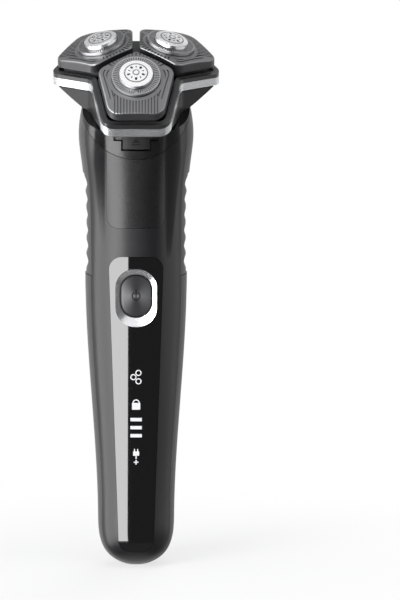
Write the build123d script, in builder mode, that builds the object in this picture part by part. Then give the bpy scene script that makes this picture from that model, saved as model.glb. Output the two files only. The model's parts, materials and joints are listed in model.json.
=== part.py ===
from build123d import *
from math import cos, pi, radians, sin, sqrt, tan
import os

os.makedirs("parts", exist_ok=True)

# Driving dimensions in millimetres. The origin is the lowest point of the handle, +Z is up,
# the front of the shaver faces -Y, and +X is to the right of someone who looks at the front.
neck_height = 149.0
handle_width = 36.2
handle_depth = 35.0
handle_lean = 1.6
wall = 2.0
end_height = 9.0
head_height = 20.5
head_tilt = 29.0
pod_flare = 17.0
overrun = 80.0

# Clearances
seam_gap = 0.1
running_fit = 0.05
inlay_gap = 0.08
slip_gap = 0.3

# The handle's outer form: shares of its height, width and depth at each section
section_height_shares = (0, 0.112, 0.369, 0.631, 0.819, 0.872, 0.923, 0.973, 1.02, 1.1)
section_width_shares = (0.585, 0.672, 0.785, 0.89, 0.909, 0.956, 1.0, 0.964, 0.906, 0.856)
section_depth_shares = (0.56, 0.657, 0.786, 0.886, 0.954, 0.977, 1.0, 1.0, 0.983, 0.957)
end_round_shares = (0.02, 0.1, 0.25, 0.5, 0.9)
section_power = 2.6
section_points = 16
seam_share = 0.6


def lean_at(share):
    """How far back the handle's centre line lies at a share of its height."""
    return handle_lean * max(1 - share, 0) ** 2


def share_between(share, values):
    """A value worked out between the two sections on each side of a share of the height."""
    for low, high, low_value, high_value in zip(
        section_height_shares, section_height_shares[1:], values, values[1:]
    ):
        if share <= high:
            return low_value + (high_value - low_value) * (share - low) / (high - low)
    return values[-1]


def width_at(share):
    return share_between(share, section_width_shares)


def depth_at(share):
    return share_between(share, section_depth_shares)


def signed_power(value, power):
    return (1 if value >= 0 else -1) * abs(value) ** power


def section_outline(half_width, half_depth, centre):
    """A superellipse as one closed smooth curve."""
    angles = [pi / 2 + 2 * pi * step / section_points for step in range(section_points)]
    return [
        (
            half_width * signed_power(cos(angle), 2 / section_power),
            centre + half_depth * signed_power(sin(angle), 2 / section_power),
        )
        for angle in angles
    ]


handle_forms = {}


def handle_form(inset):
    """The handle's outer form as a solid, drawn in from its surface by the inset."""
    if inset not in handle_forms:
        sections = []
        for share in end_round_shares:
            height = (share - end_round_shares[0]) * end_height + inset
            fullness = sqrt(1 - (1 - share) ** 2)
            sections.append((height, share * end_height / neck_height, fullness))
        sections += [
            (share * neck_height, share, 1) for share in section_height_shares if share > 0
        ]
        with BuildPart() as form:
            for height, share, fullness in sections:
                half_width = width_at(share) * handle_width / 2 * fullness - inset * fullness
                half_depth = depth_at(share) * handle_depth / 2 * fullness - inset * fullness
                with BuildSketch(Plane.XY.offset(height)):
                    with BuildLine():
                        Spline(
                            *section_outline(half_width, half_depth, lean_at(share)),
                            periodic=True,
                        )
                    make_face()
            loft()
        handle_forms[inset] = form.part
    return handle_forms[inset]


def block(x_span, y_span, z_span):
    """A box between two places along each axis."""
    with BuildPart() as box:
        with BuildSketch(Plane.XY.offset(z_span[0])):
            with Locations(((x_span[0] + x_span[1]) / 2, (y_span[0] + y_span[1]) / 2)):
                Rectangle(x_span[1] - x_span[0], y_span[1] - y_span[0])
        extrude(amount=z_span[1] - z_span[0])
    return box.part


def rod(plane, radius, length):
    """A round bar that stands on a plane."""
    with BuildPart() as bar:
        with BuildSketch(plane):
            Circle(radius)
        extrude(amount=length)
    return bar.part


def save(piece, name):
    piece.label = name
    export_step(piece, f"parts/{name}.step")


# The head's frame: its axis leans forward from the neck, and three pods flare out around it
lean = radians(head_tilt)
flare = radians(pod_flare)
head_axis = Vector(0, -sin(lean), cos(lean))
neck_centre = Vector(0, 0, neck_height)
head_centre = neck_centre + head_axis * head_height
neck_plane = Plane(origin=neck_centre, x_dir=(1, 0, 0), z_dir=head_axis)
head_plane = Plane(origin=head_centre, x_dir=(1, 0, 0), z_dir=head_axis)
pod_angles = {"front": -90, "right": 30, "left": 150}
lobe_turn = 60
shoulder_share = 1 / tan(pi / len(pod_angles))

# Pods and their drive
sun_teeth = 24
planet_teeth = 18
gear_module = 0.5
spindle_radius = gear_module * (sun_teeth + planet_teeth) / 2
pivot_depth = 6.8
cap_radius = (spindle_radius + pivot_depth * sin(flare)) / cos(flare)

# Outline of a pod seen along the head's axis
pod_shoulder = 12.1
pod_reach = 24.9
pod_end_width = 17.0
pod_gap = 2.2
shoulder_round = 3.0
end_round = 4.2
apex_round = 1.2
valley_round = 5.0
trim_margin = 1.9
trim_end_margin = 0.6
trim_wall = 0.9
frame_wall = 0.7
pod_depth = 3.9
pod_wall = 0.8
pod_crown_radius = 70.0
trim_depth = 5.2
trim_height = 4.0


def distance_out(corner):
    return corner.center().length


def radial(angle):
    turn = radians(angle)
    return head_plane.x_dir * cos(turn) + head_plane.y_dir * sin(turn)


def lobe_plane(angle):
    """The head's plane turned so that +Y points out along one pod."""
    out = radial(angle)
    return Plane(origin=head_centre, x_dir=out.cross(head_axis), z_dir=head_axis)


def pod_plane(angle):
    """A pod's own plane: +Y points outward, +Z out of its shaving cap."""
    out = radial(angle) * cos(flare) - head_axis * sin(flare)
    up = head_axis * cos(flare) + radial(angle) * sin(flare)
    return Plane(origin=head_centre + out * cap_radius, x_dir=out.cross(up), z_dir=up)


def pod_pyramid(depth):
    """Everything below three planes that lie under the pods by a depth."""
    with BuildPart() as pyramid:
        with BuildSketch(head_plane.offset(-overrun)):
            Circle(overrun)
        extrude(amount=2 * overrun)
        for angle in pod_angles.values():
            split(bisect_by=pod_plane(angle).offset(-depth), keep=Keep.BOTTOM)
    return pyramid.part


def three_lobes(margin, end_margin, height_span, valley_radius, end_radius):
    """A prism along the head's axis whose section is the three lobes together."""
    half = pod_shoulder + margin
    end_half = pod_end_width / 2 + margin
    end = pod_reach + end_margin
    with BuildPart() as prism:
        with BuildSketch(head_plane.offset(height_span[0])) as outline:
            with PolarLocations(0, len(pod_angles), start_angle=lobe_turn):
                Polygon(
                    (0, 0),
                    (half, half * shoulder_share),
                    (end_half, end),
                    (-end_half, end),
                    (-half, half * shoulder_share),
                    align=None,
                )
            corners = sorted(outline.vertices(), key=distance_out)
            fillet(corners[-6:], end_radius)
            corners = sorted(outline.vertices(), key=distance_out)
            fillet(corners[:3], valley_radius)
        extrude(amount=height_span[1] - height_span[0])
    return prism.part


# The handle: two shells, a collar and what lies in them
outer_form = handle_form(0)
inner_form = handle_form(wall)
seam_points = [
    (
        lean_at(share) - seam_share * depth_share * handle_depth / 2,
        share * neck_height,
    )
    for share, depth_share in zip(section_height_shares, section_depth_shares)
]

with BuildPart() as front_region:
    with BuildSketch(Plane.YZ):
        with BuildLine():
            Spline(*seam_points)
            Polyline(
                seam_points[-1],
                (seam_points[-1][0], neck_height + overrun),
                (-overrun, neck_height + overrun),
                (-overrun, -overrun),
                (seam_points[0][0], -overrun),
                seam_points[0],
            )
        make_face()
    extrude(amount=overrun, both=True)

# The collar's lower seam is one arc in front view
collar_radius = 17.5
collar_low = 131.6


def collar_zone(radius):
    """What lies above the collar's seam arc, right through from front to back."""
    with BuildPart() as zone:
        with BuildSketch(Plane.XZ.offset(-overrun)):
            with Locations((0, collar_low + collar_radius)):
                Circle(radius)
            with Locations((0, collar_low + collar_radius + overrun / 2)):
                Rectangle(2 * radius, overrun)
        extrude(amount=2 * overrun)
    return zone.part


# Fittings let into the front: lens, bare plate, button bezel
lens_depth = 1.2
lens_top = 100.6
lens_low = 5.3
lens_top_width = 17.3
lens_low_width = 10.9
lens_corner = 4.0
plate_depth = 0.9
plate_width = 18.2
plate_low = 109.7
plate_corner = 3.4
button_height = 87.6
ring_width = 12.9
ring_length = 18.3
ring_corner = 6.0
ring_proud = 0.5
button_width = 10.2
button_length = 13.6
button_corner = 4.8
button_rise = 0.65
button_proud = 0.25
button_travel = 0.6
front_face = Plane.XZ.offset(handle_depth)


def lens_zone(gap):
    """The lens outline, taken through the front half of the handle."""
    with BuildPart() as zone:
        with BuildSketch(front_face) as outline:
            with BuildLine():
                Polyline(
                    (-lens_top_width / 2 - gap, lens_top + gap),
                    (lens_top_width / 2 + gap, lens_top + gap),
                    (lens_low_width / 2 + gap, lens_low - gap),
                    (-lens_low_width / 2 - gap, lens_low - gap),
                    close=True,
                )
            make_face()
            fillet(outline.vertices(), lens_corner + gap)
        extrude(amount=-handle_depth + lens_depth)
    return zone.part


def plate_zone(gap):
    """The bare plate's outline between the collar and the lens."""
    with BuildPart() as zone:
        with BuildSketch(front_face):
            with Locations((0, plate_low - gap)):
                RectangleRounded(
                    plate_width + 2 * gap,
                    neck_height - plate_low,
                    plate_corner + gap,
                    align=(Align.CENTER, Align.MIN),
                )
        extrude(amount=-handle_depth + lens_depth)
        add(collar_zone(collar_radius + seam_gap - gap + inlay_gap), mode=Mode.SUBTRACT)
    return zone.part


def front_pocket(width, length, corner, rise, gap):
    """A rounded outline about the power button, taken through the front wall."""
    with BuildPart() as zone:
        with BuildSketch(front_face):
            with Locations((0, button_height + rise)):
                RectangleRounded(width + 2 * gap, length + 2 * gap, corner + gap)
        extrude(amount=-handle_depth + lens_depth)
    return zone.part


def skin(outer_inset, inner_inset, zone):
    """The layer of the handle's form between two insets, within a zone."""
    with BuildPart() as layer:
        add(handle_form(outer_inset))
        add(handle_form(inner_inset), mode=Mode.SUBTRACT)
        add(zone, mode=Mode.INTERSECT)
    return layer.part


# Trimmer pocket in the back
trimmer_width = 17.6
trimmer_low = 103.0
trimmer_top = 130.4
pocket_floor = 12.2
tray_wall = 1.0
hinge_rise = 2.2
hinge_depth = 1.9
knuckle_radius = 1.5
hinge_radius = 0.8
pin_overlap = 0.6
trimmer_axis = (pocket_floor + hinge_depth, trimmer_low + hinge_rise)
trimmer_hinge_plane = Plane(
    origin=(0, trimmer_axis[0], trimmer_axis[1]), x_dir=(0, 1, 0), z_dir=(1, 0, 0)
)

# Slide that frees the trimmer
slide_width = 11.0
slide_length = 6.5
slide_travel = 3.0
slide_top = 100.0
slide_recess = 0.9
slide_proud = 0.7
slide_stem = 5.0
slide_groove_count = 4
slide_groove_pitch = 1.3
slide_groove_width = 0.6
slide_groove_depth = 0.3

# Grips
grip_low = 94.0
grip_top = 126.0
grip_depth = 1.2
grip_inset = 0.35
grip_wave_depth = 0.75
grip_wave_count = 6
wave_start_share = 0.75
wave_end_share = 0.5
grip_front = -9.5
grip_back = 7.5
back_grip_width = 15.0
back_grip_low = 22.0
back_grip_top = 86.0
back_rib_count = 13
back_rib_width = 2.0
back_rib_depth = 0.45

# Charging inlet in the handle's end
inlet_width = 8.4
inlet_depth = 4.6
inlet_length = 9.0
inlet_wall = 1.2
inlet_y = 1.5
pin_radius = 0.8
pin_length = 4.0
pin_spacing = 4.0
pin_root_radius = 0.6

# Screws behind the back grip: their plane is the inner end of the rear shell's bosses
screw_height = 29.0
screw_spacing = 8.4
screw_radius = 1.0
screw_head_radius = 1.9
screw_head_height = 1.2
screw_length = 5.0
screw_boss_radius = 2.9
screw_boss_floor = 1.2
screw_boss_end = 7.6
screw_boss_length = 3.0
screw_plane = Plane(origin=(0, screw_boss_end, screw_height), x_dir=(1, 0, 0), z_dir=(0, -1, 0))

tray_block = block(
    (-trimmer_width / 2 - tray_wall, trimmer_width / 2 + tray_wall),
    (pocket_floor - tray_wall, handle_depth),
    (trimmer_low - tray_wall, trimmer_top + tray_wall),
)
tray_cut = block(
    (-trimmer_width / 2, trimmer_width / 2),
    (pocket_floor, handle_depth),
    (trimmer_low, trimmer_top),
)
slide_path = block(
    (-slide_width / 2 - slip_gap, slide_width / 2 + slip_gap),
    (0, handle_depth),
    (slide_top - slide_length - slide_travel - slip_gap, slide_top + slip_gap),
)
slide_slot = block(
    (-slide_stem / 2 - slip_gap, slide_stem / 2 + slip_gap),
    (0, handle_depth),
    (slide_top - slide_length + slip_gap - slide_travel, slide_top - slip_gap),
)
back_grip_zone = block(
    (-back_grip_width / 2, back_grip_width / 2),
    (0, handle_depth),
    (back_grip_low, back_grip_top),
)


def grip_zone(side, gap):
    """Where a side grip lies, on the left (-1) or the right (1)."""
    span = sorted((0, side * handle_width))
    return block(span, (grip_front - gap, grip_back + gap), (grip_low - gap, grip_top + gap))


inlet_block = block(
    (-inlet_width / 2 - inlet_wall, inlet_width / 2 + inlet_wall),
    (inlet_y - inlet_depth / 2 - inlet_wall, inlet_y + inlet_depth / 2 + inlet_wall),
    (0, inlet_length + inlet_wall),
)
grip_pockets = skin(
    -ring_proud,
    grip_depth + inlay_gap,
    grip_zone(-1, inlay_gap) + grip_zone(1, inlay_gap) + back_grip_zone,
)

with BuildPart() as front_shell:
    add(outer_form)
    add(inner_form, mode=Mode.SUBTRACT)
    add(front_region.part, mode=Mode.INTERSECT)
    add(collar_zone(collar_radius + seam_gap), mode=Mode.SUBTRACT)
    split(bisect_by=neck_plane.offset(-seam_gap), keep=Keep.BOTTOM)
    add(skin(-ring_proud, lens_depth + inlay_gap, lens_zone(inlay_gap)), mode=Mode.SUBTRACT)
    add(skin(-ring_proud, plate_depth + inlay_gap, plate_zone(inlay_gap)), mode=Mode.SUBTRACT)
    add(
        front_pocket(button_width, button_length, button_corner, button_rise, slip_gap / 2),
        mode=Mode.SUBTRACT,
    )
    add(grip_pockets, mode=Mode.SUBTRACT)
    add(inlet_block, mode=Mode.SUBTRACT)
save(front_shell.part, "front_shell")

with BuildPart() as rear_shell:
    add(outer_form)
    add(inner_form, mode=Mode.SUBTRACT)
    add(front_region.part, mode=Mode.SUBTRACT)
    add(collar_zone(collar_radius + seam_gap), mode=Mode.SUBTRACT)
    split(bisect_by=neck_plane.offset(-seam_gap), keep=Keep.BOTTOM)
    add(skin(0, pocket_floor, tray_block))
    add(tray_cut, mode=Mode.SUBTRACT)
    with BuildSketch(trimmer_hinge_plane):
        Circle(hinge_radius)
    extrude(amount=trimmer_width / 2 + pin_overlap, both=True, mode=Mode.SUBTRACT)
    add(grip_pockets, mode=Mode.SUBTRACT)
    with BuildSketch(screw_plane) as screw_bosses:
        with GridLocations(screw_spacing, 0, 2, 1):
            Circle(screw_boss_radius)
    extrude(amount=-screw_boss_length)
    with BuildSketch(screw_plane):
        with GridLocations(screw_spacing, 0, 2, 1):
            Circle(screw_radius + inlay_gap)
    extrude(amount=-handle_depth, mode=Mode.SUBTRACT)
    with BuildSketch(screw_plane.offset(-screw_boss_floor)):
        with GridLocations(screw_spacing, 0, 2, 1):
            Circle(screw_head_radius + inlay_gap)
    extrude(amount=-handle_depth, mode=Mode.SUBTRACT)
    add(skin(-ring_proud, slide_recess, slide_path), mode=Mode.SUBTRACT)
    add(slide_slot, mode=Mode.SUBTRACT)
    add(inlet_block, mode=Mode.SUBTRACT)
save(rear_shell.part, "rear_shell")

# The collar closes the handle's top with a sloping deck and a notch for the release button
deck_thickness = 2.0
seat_radius = 11.0
cup_radius = 9.1
cup_wall = 1.4
cup_depth = 3.3
cup_floor = 1.2
notch_width = 14.2
notch_low = 137.3
button_notch_width = 9.4
button_notch_low = 134.2
notch_depth = 3.6
notch_front = -handle_depth / 2 + notch_depth

with BuildPart() as notch:
    for width, low in ((notch_width, notch_low), (button_notch_width, button_notch_low)):
        add(
            block(
                (-width / 2, width / 2),
                (-handle_depth, notch_front),
                (low, neck_height),
            )
        )

with BuildPart() as under_deck:
    add(inner_form)
    split(bisect_by=neck_plane.offset(-deck_thickness), keep=Keep.BOTTOM)
    add(
        block(
            (-notch_width / 2 - wall, notch_width / 2 + wall),
            (-handle_depth, notch_front + wall / 2),
            (button_notch_low - wall / 2, neck_height),
        ),
        mode=Mode.SUBTRACT,
    )

with BuildPart() as collar:
    add(outer_form)
    add(collar_zone(collar_radius), mode=Mode.INTERSECT)
    split(bisect_by=neck_plane, keep=Keep.BOTTOM)
    add(under_deck.part, mode=Mode.SUBTRACT)
    add(notch.part, mode=Mode.SUBTRACT)
    add(rod(neck_plane.offset(-handle_depth), seat_radius, 2 * handle_depth), mode=Mode.SUBTRACT)
save(collar.part, "collar")

# A cup in the deck that takes the shaving unit's neck and the shaft seal
seal_radius = 4.0
seal_round_share = 0.25
seal_height = 1.2
drive_radius = 1.5
with BuildPart() as coupling_seat:
    with BuildSketch(neck_plane):
        Circle(seat_radius - running_fit)
        Circle(cup_radius, mode=Mode.SUBTRACT)
    extrude(amount=-deck_thickness)
    with BuildSketch(neck_plane.offset(-deck_thickness)):
        Circle(cup_radius + cup_wall)
        Circle(cup_radius, mode=Mode.SUBTRACT)
    extrude(amount=-cup_depth - cup_floor + deck_thickness)
    with BuildSketch(neck_plane.offset(-cup_depth)):
        Circle(cup_radius)
        Circle(drive_radius + slip_gap, mode=Mode.SUBTRACT)
    extrude(amount=-cup_floor)
save(coupling_seat.part, "coupling_seat")

with BuildPart() as shaft_seal:
    with BuildSketch(neck_plane.offset(-cup_depth)):
        Circle(seal_radius)
        Circle(drive_radius + running_fit, mode=Mode.SUBTRACT)
    extrude(amount=seal_height)
    outer_edges = shaft_seal.edges().filter_by(GeomType.CIRCLE).sort_by(SortBy.RADIUS)[-1:]
    fillet(outer_edges, seal_height * seal_round_share)
save(shaft_seal.part, "shaft_seal")

# Front fittings, each a layer of the handle's own form
with BuildPart() as front_plate:
    add(skin(0, plate_depth, plate_zone(0)))
save(front_plate.part, "front_plate")

with BuildPart() as display_lens:
    add(skin(0, lens_depth, lens_zone(0)))
    add(front_pocket(ring_width, ring_length, ring_corner, 0, running_fit), mode=Mode.SUBTRACT)
save(display_lens.part, "display_lens")

with BuildPart() as button_ring:
    add(
        skin(
            -ring_proud,
            lens_depth,
            front_pocket(ring_width, ring_length, ring_corner, 0, 0),
        )
    )
    add(
        front_pocket(button_width, button_length, button_corner, button_rise, slip_gap / 2),
        mode=Mode.SUBTRACT,
    )
save(button_ring.part, "button_ring")

# The power button: a conforming cap, a flange behind the wall and a stem to its switch
flange_reach = 0.9
flange_thickness = 0.8
stem_radius = 1.6
stem_gap = 0.2
switch_size = 6.0
switch_height = 2.9
board_front = -8.0
stem_end = board_front - switch_height - button_travel - stem_gap
board_thickness = 1.0
board_width = 13.0
board_low = 36.0
board_top = 108.0

with BuildPart() as power_button:
    add(
        skin(
            -button_proud,
            wall + flange_thickness,
            front_pocket(button_width, button_length, button_corner, button_rise, 0),
        )
    )
    add(
        skin(
            wall + inlay_gap,
            wall + flange_thickness,
            front_pocket(button_width, button_length, button_corner, button_rise, flange_reach),
        )
    )
    stem_plane = Plane.XZ.offset(-stem_end)
    with BuildSketch(stem_plane):
        with Locations((0, button_height + button_rise)):
            Circle(stem_radius)
    extrude(amount=wall)
save(power_button.part, "power_button")

# Side grips with finger waves, and the ribbed grip on the back
wave_pitch = (grip_top - grip_low) / (grip_wave_count + wave_end_share)
wave_radius = ((wave_pitch / 2) ** 2 + grip_wave_depth**2) / (2 * grip_wave_depth)
for side, grip_name in ((-1, "side_grip_left"), (1, "side_grip_right")):
    with BuildPart() as side_grip:
        add(skin(grip_inset, grip_depth, grip_zone(side, 0)))
        with BuildSketch(Plane.XZ.offset(-handle_depth)):
            for wave in range(grip_wave_count):
                height = grip_low + (wave + wave_start_share) * wave_pitch
                edge = width_at(height / neck_height) * handle_width / 2 - grip_inset
                with Locations((side * (edge + wave_radius - grip_wave_depth), height)):
                    Circle(wave_radius)
        extrude(amount=2 * handle_depth, mode=Mode.SUBTRACT)
    save(side_grip.part, grip_name)

rib_pitch = (back_grip_top - back_grip_low) / back_rib_count
with BuildPart() as back_grooves:
    with BuildSketch(Plane.XZ.offset(-handle_depth)):
        with Locations((0, (back_grip_low + back_grip_top) / 2)):
            with GridLocations(0, rib_pitch, 1, back_rib_count):
                Rectangle(2 * back_grip_width, back_rib_width)
    extrude(amount=handle_depth)
with BuildPart() as back_grip:
    add(skin(0, grip_depth, back_grip_zone))
    add(
        skin(-ring_proud, back_rib_depth, back_grip_zone) & back_grooves.part,
        mode=Mode.SUBTRACT,
    )
save(back_grip.part, "back_grip")

# Charging inlet: a moulded socket in the handle's end with two contact pins
with BuildPart() as charging_inlet:
    add(inlet_block)
    add(outer_form, mode=Mode.INTERSECT)
    add(
        block(
            (-inlet_width / 2, inlet_width / 2),
            (inlet_y - inlet_depth / 2, inlet_y + inlet_depth / 2),
            (-overrun, inlet_length),
        ),
        mode=Mode.SUBTRACT,
    )
    with BuildSketch(Plane.XY.offset(inlet_length)):
        with Locations((0, inlet_y)):
            with GridLocations(pin_spacing, 0, 2, 1):
                Circle(pin_root_radius)
    extrude(amount=inlet_wall, mode=Mode.SUBTRACT)
save(charging_inlet.part, "charging_inlet")

pin_tail = 3.0
with BuildPart() as inlet_pins:
    with BuildSketch(Plane.XY.offset(inlet_length - pin_length)):
        with Locations((0, inlet_y)):
            with GridLocations(pin_spacing, 0, 2, 1):
                Circle(pin_radius)
    extrude(amount=pin_length)
    with BuildSketch(Plane.XY.offset(inlet_length)):
        with Locations((0, inlet_y)):
            with GridLocations(pin_spacing, 0, 2, 1):
                Circle(pin_root_radius)
    extrude(amount=inlet_wall + pin_tail)
save(inlet_pins.part, "inlet_pins")

# Battery, motor and the chassis that carries them
battery_radius = 7.1
battery_low = 40.0
battery_length = 48.0
battery_cap_radius = 2.6
battery_cap_height = 1.0
battery_y = 1.2
tab_thickness = 0.4
tab_width = 5.0
universal_drop = 7.0
motor_radius = 7.6
motor_length = 25.0
motor_wall = 1.4
rotor_radius = 5.7
rotor_length = motor_length - 4 * motor_wall
rotor_slot_count = 3
rotor_slot_depth = 3.0
rotor_slot_width = 1.0
motor_boss_radius = 2.5
motor_boss_height = 0.8
motor_drop = 4.2
universal_centre = neck_centre - head_axis * universal_drop
motor_top = universal_centre.Z - motor_drop
motor_y = universal_centre.Y
motor_low = motor_top - motor_length
rail_low = 16.0
rail_thickness = 1.4
rail_front = -6.6
rail_back = 2.4
rail_out = 9.4
saddle_height = 3.0
saddle_heights = (44.0, 80.0)
motor_saddles = (motor_low + 2 * saddle_height, motor_top - 2 * saddle_height)
boss_radius = 2.6

with BuildPart() as battery:
    with BuildSketch(Plane.XY.offset(battery_low)):
        with Locations((0, battery_y)):
            Circle(battery_radius)
    extrude(amount=battery_length)
    fillet(battery.edges().filter_by(GeomType.CIRCLE), battery_cap_height / 2)
    with BuildSketch(Plane.XY.offset(battery_low + battery_length)):
        with Locations((0, battery_y)):
            Circle(battery_cap_radius)
    extrude(amount=battery_cap_height)
save(battery.part, "battery")

with BuildPart() as battery_tabs:
    for height in (battery_low - tab_thickness, battery_low + battery_length + battery_cap_height):
        add(
            block(
                (-tab_width / 2, tab_width / 2),
                (board_front + board_thickness, battery_y + battery_cap_radius),
                (height, height + tab_thickness),
            )
        )
save(battery_tabs.part, "battery_tabs")

with BuildPart() as motor:
    with BuildSketch(Plane.XY.offset(motor_low)):
        with Locations((0, motor_y)):
            Circle(motor_radius)
    extrude(amount=motor_length)
    fillet(motor.edges().filter_by(GeomType.CIRCLE), motor_boss_height)
    with BuildSketch(Plane.XY.offset(motor_top)):
        with Locations((0, motor_y)):
            Circle(motor_boss_radius)
    extrude(amount=motor_boss_height)
    with BuildSketch(Plane.XY.offset(motor_low)):
        with Locations((0, motor_y)):
            Circle(motor_boss_radius)
    extrude(amount=-motor_boss_height)
    with BuildSketch(Plane.XY.offset(motor_low + motor_wall)):
        with Locations((0, motor_y)):
            Circle(motor_radius - motor_wall)
    extrude(amount=motor_length - 2 * motor_wall, mode=Mode.SUBTRACT)
    with BuildSketch(Plane.XY.offset(motor_low)):
        with Locations((0, motor_y)):
            Circle(drive_radius / 2 + running_fit)
    extrude(amount=2 * motor_length, mode=Mode.SUBTRACT)
save(motor.part, "motor")

with BuildPart() as motor_rotor:
    with BuildSketch(Plane.XY.offset(motor_low + 2 * motor_wall)):
        with Locations((0, motor_y)):
            Circle(rotor_radius)
            Circle(drive_radius / 2, mode=Mode.SUBTRACT)
            with PolarLocations(rotor_radius, rotor_slot_count):
                Rectangle(rotor_slot_depth, rotor_slot_width, mode=Mode.SUBTRACT)
    extrude(amount=rotor_length)
save(motor_rotor.part, "motor_rotor")

with BuildPart() as chassis:
    for side in (-1, 1):
        rail = sorted((side * rail_out, side * (rail_out - rail_thickness)))
        add(block(rail, (rail_front, rail_back), (rail_low, motor_top)))
    for height in saddle_heights + motor_saddles:
        add(
            block(
                (-rail_out, rail_out),
                (rail_front, rail_back),
                (height, height + saddle_height),
            )
        )
    add(
        block(
            (-rail_out, rail_out),
            (rail_back - wall, screw_boss_end - inlay_gap),
            (screw_height - boss_radius, screw_height + boss_radius),
        )
    )
    with BuildSketch(screw_plane.offset(-screw_boss_floor)):
        with GridLocations(screw_spacing, 0, 2, 1):
            Circle(screw_radius)
    extrude(amount=screw_length + screw_boss_floor, mode=Mode.SUBTRACT)
    with BuildSketch(Plane.XY.offset(battery_low - 2 * running_fit)):
        with Locations((0, battery_y)):
            Circle(battery_radius + running_fit)
    extrude(amount=battery_length + battery_cap_height, mode=Mode.SUBTRACT)
    with BuildSketch(Plane.XY.offset(motor_low - saddle_height)):
        with Locations((0, motor_y)):
            Circle(motor_radius + running_fit)
    extrude(amount=motor_length + 2 * saddle_height, mode=Mode.SUBTRACT)
    add(inner_form, mode=Mode.INTERSECT)
save(chassis.part, "chassis")

with BuildPart() as circuit_board:
    add(
        block(
            (-board_width / 2, board_width / 2),
            (board_front, board_front + board_thickness),
            (board_low, board_top),
        )
    )
save(circuit_board.part, "circuit_board")

with BuildPart() as tact_switch:
    add(
        block(
            (-switch_size / 2, switch_size / 2),
            (board_front - switch_height, board_front),
            (
                button_height + button_rise - switch_size / 2,
                button_height + button_rise + switch_size / 2,
            ),
        )
    )
save(tact_switch.part, "tact_switch")

led_size = 1.6
led_height = 1.0
led_heights = (65.1, 56.9, 53.6, 49.8, 46.2, 42.5)
with BuildPart() as display_lights:
    with BuildSketch(Plane.XZ.offset(-board_front)):
        for height in led_heights:
            with Locations((0, height)):
                Rectangle(led_size, led_size)
    extrude(amount=led_height)
save(display_lights.part, "display_lights")


with BuildPart() as shell_screws:
    with BuildSketch(screw_plane.offset(-screw_boss_floor)):
        with GridLocations(screw_spacing, 0, 2, 1):
            Circle(screw_radius)
    extrude(amount=screw_length)
    with BuildSketch(screw_plane.offset(-screw_boss_floor)):
        with GridLocations(screw_spacing, 0, 2, 1):
            Circle(screw_head_radius)
    extrude(amount=-screw_head_height)
    with BuildSketch(screw_plane.offset(-screw_boss_floor - screw_head_height)):
        with GridLocations(screw_spacing, 0, 2, 1):
            Rectangle(2 * screw_radius, screw_radius / 2)
            Rectangle(screw_radius / 2, 2 * screw_radius)
    extrude(amount=screw_head_height / 2, mode=Mode.SUBTRACT)
save(shell_screws.part, "shell_screws")

# Pop-up trimmer on the back: arm with its comb, a reciprocating blade, its pin and its slide
arm_gap = 0.35
comb_thickness = 0.8
blade_thickness = 0.7
blade_gap = 0.05
blade_travel = 0.4
tooth_pitch = 1.1
tooth_count = 14
tooth_slot = 0.5
tooth_length = 2.6
comb_drop = 1.5
arm_top = trimmer_top - tooth_length - arm_gap
arm_back_gap = 0.3
arm_depth_share = 0.25
comb_width = tooth_pitch * tooth_count
blade_set_out = 1.2
blade_y = pocket_floor + blade_set_out

with BuildPart() as trimmer_hinge_pin:
    with BuildSketch(trimmer_hinge_plane):
        Circle(hinge_radius)
    extrude(amount=trimmer_width / 2 + pin_overlap, both=True)
save(trimmer_hinge_pin.part, "trimmer_hinge_pin")

with BuildPart() as trimmer_arm:
    add(
        skin(
            arm_back_gap,
            handle_depth * arm_depth_share + arm_back_gap,
            block(
                (-trimmer_width / 2 + arm_gap, trimmer_width / 2 - arm_gap),
                (pocket_floor + arm_gap, handle_depth),
                (trimmer_axis[1] + hinge_radius, arm_top),
            ),
        )
    )
    with BuildSketch(trimmer_hinge_plane):
        Circle(knuckle_radius)
    extrude(amount=trimmer_width / 2 - arm_gap, both=True)
    with BuildSketch(trimmer_hinge_plane):
        Circle(hinge_radius + running_fit)
    extrude(amount=trimmer_width, both=True, mode=Mode.SUBTRACT)
    add(
        block(
            (-comb_width / 2 - blade_travel - arm_gap, comb_width / 2 + blade_travel + arm_gap),
            (0, blade_y + blade_thickness + blade_gap + comb_thickness),
            (arm_top - comb_drop - arm_gap, neck_height),
        ),
        mode=Mode.SUBTRACT,
    )
save(trimmer_arm.part, "trimmer_arm")


def toothed_plate(front, thickness, low, width):
    """A flat plate with a row of teeth along its upper edge."""
    tip = arm_top + tooth_length
    with BuildPart() as plate:
        with BuildSketch(Plane.XZ.offset(-front)):
            with Locations((0, low)):
                Rectangle(width, tip - low, align=(Align.CENTER, Align.MIN))
            with Locations((0, tip)):
                with GridLocations(tooth_pitch, 0, tooth_count - 1, 1):
                    Rectangle(tooth_slot, 2 * tooth_length - tooth_slot, mode=Mode.SUBTRACT)
        extrude(amount=-thickness)
    return plate.part


trimmer_comb = toothed_plate(
    blade_y + blade_thickness + blade_gap, comb_thickness, arm_top - comb_drop, comb_width
)
save(trimmer_comb, "trimmer_comb")
trimmer_blade = toothed_plate(
    blade_y, blade_thickness, arm_top - comb_drop + arm_gap, comb_width - 2 * blade_travel
)
save(trimmer_blade, "trimmer_blade")

with BuildPart() as slide_grooves:
    with BuildSketch(Plane.XZ.offset(-handle_depth)):
        with Locations((0, slide_top - slide_length / 2)):
            with GridLocations(0, slide_groove_pitch, 1, slide_groove_count):
                Rectangle(slide_width - 2 * slide_proud, slide_groove_width)
    extrude(amount=handle_depth)

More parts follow.
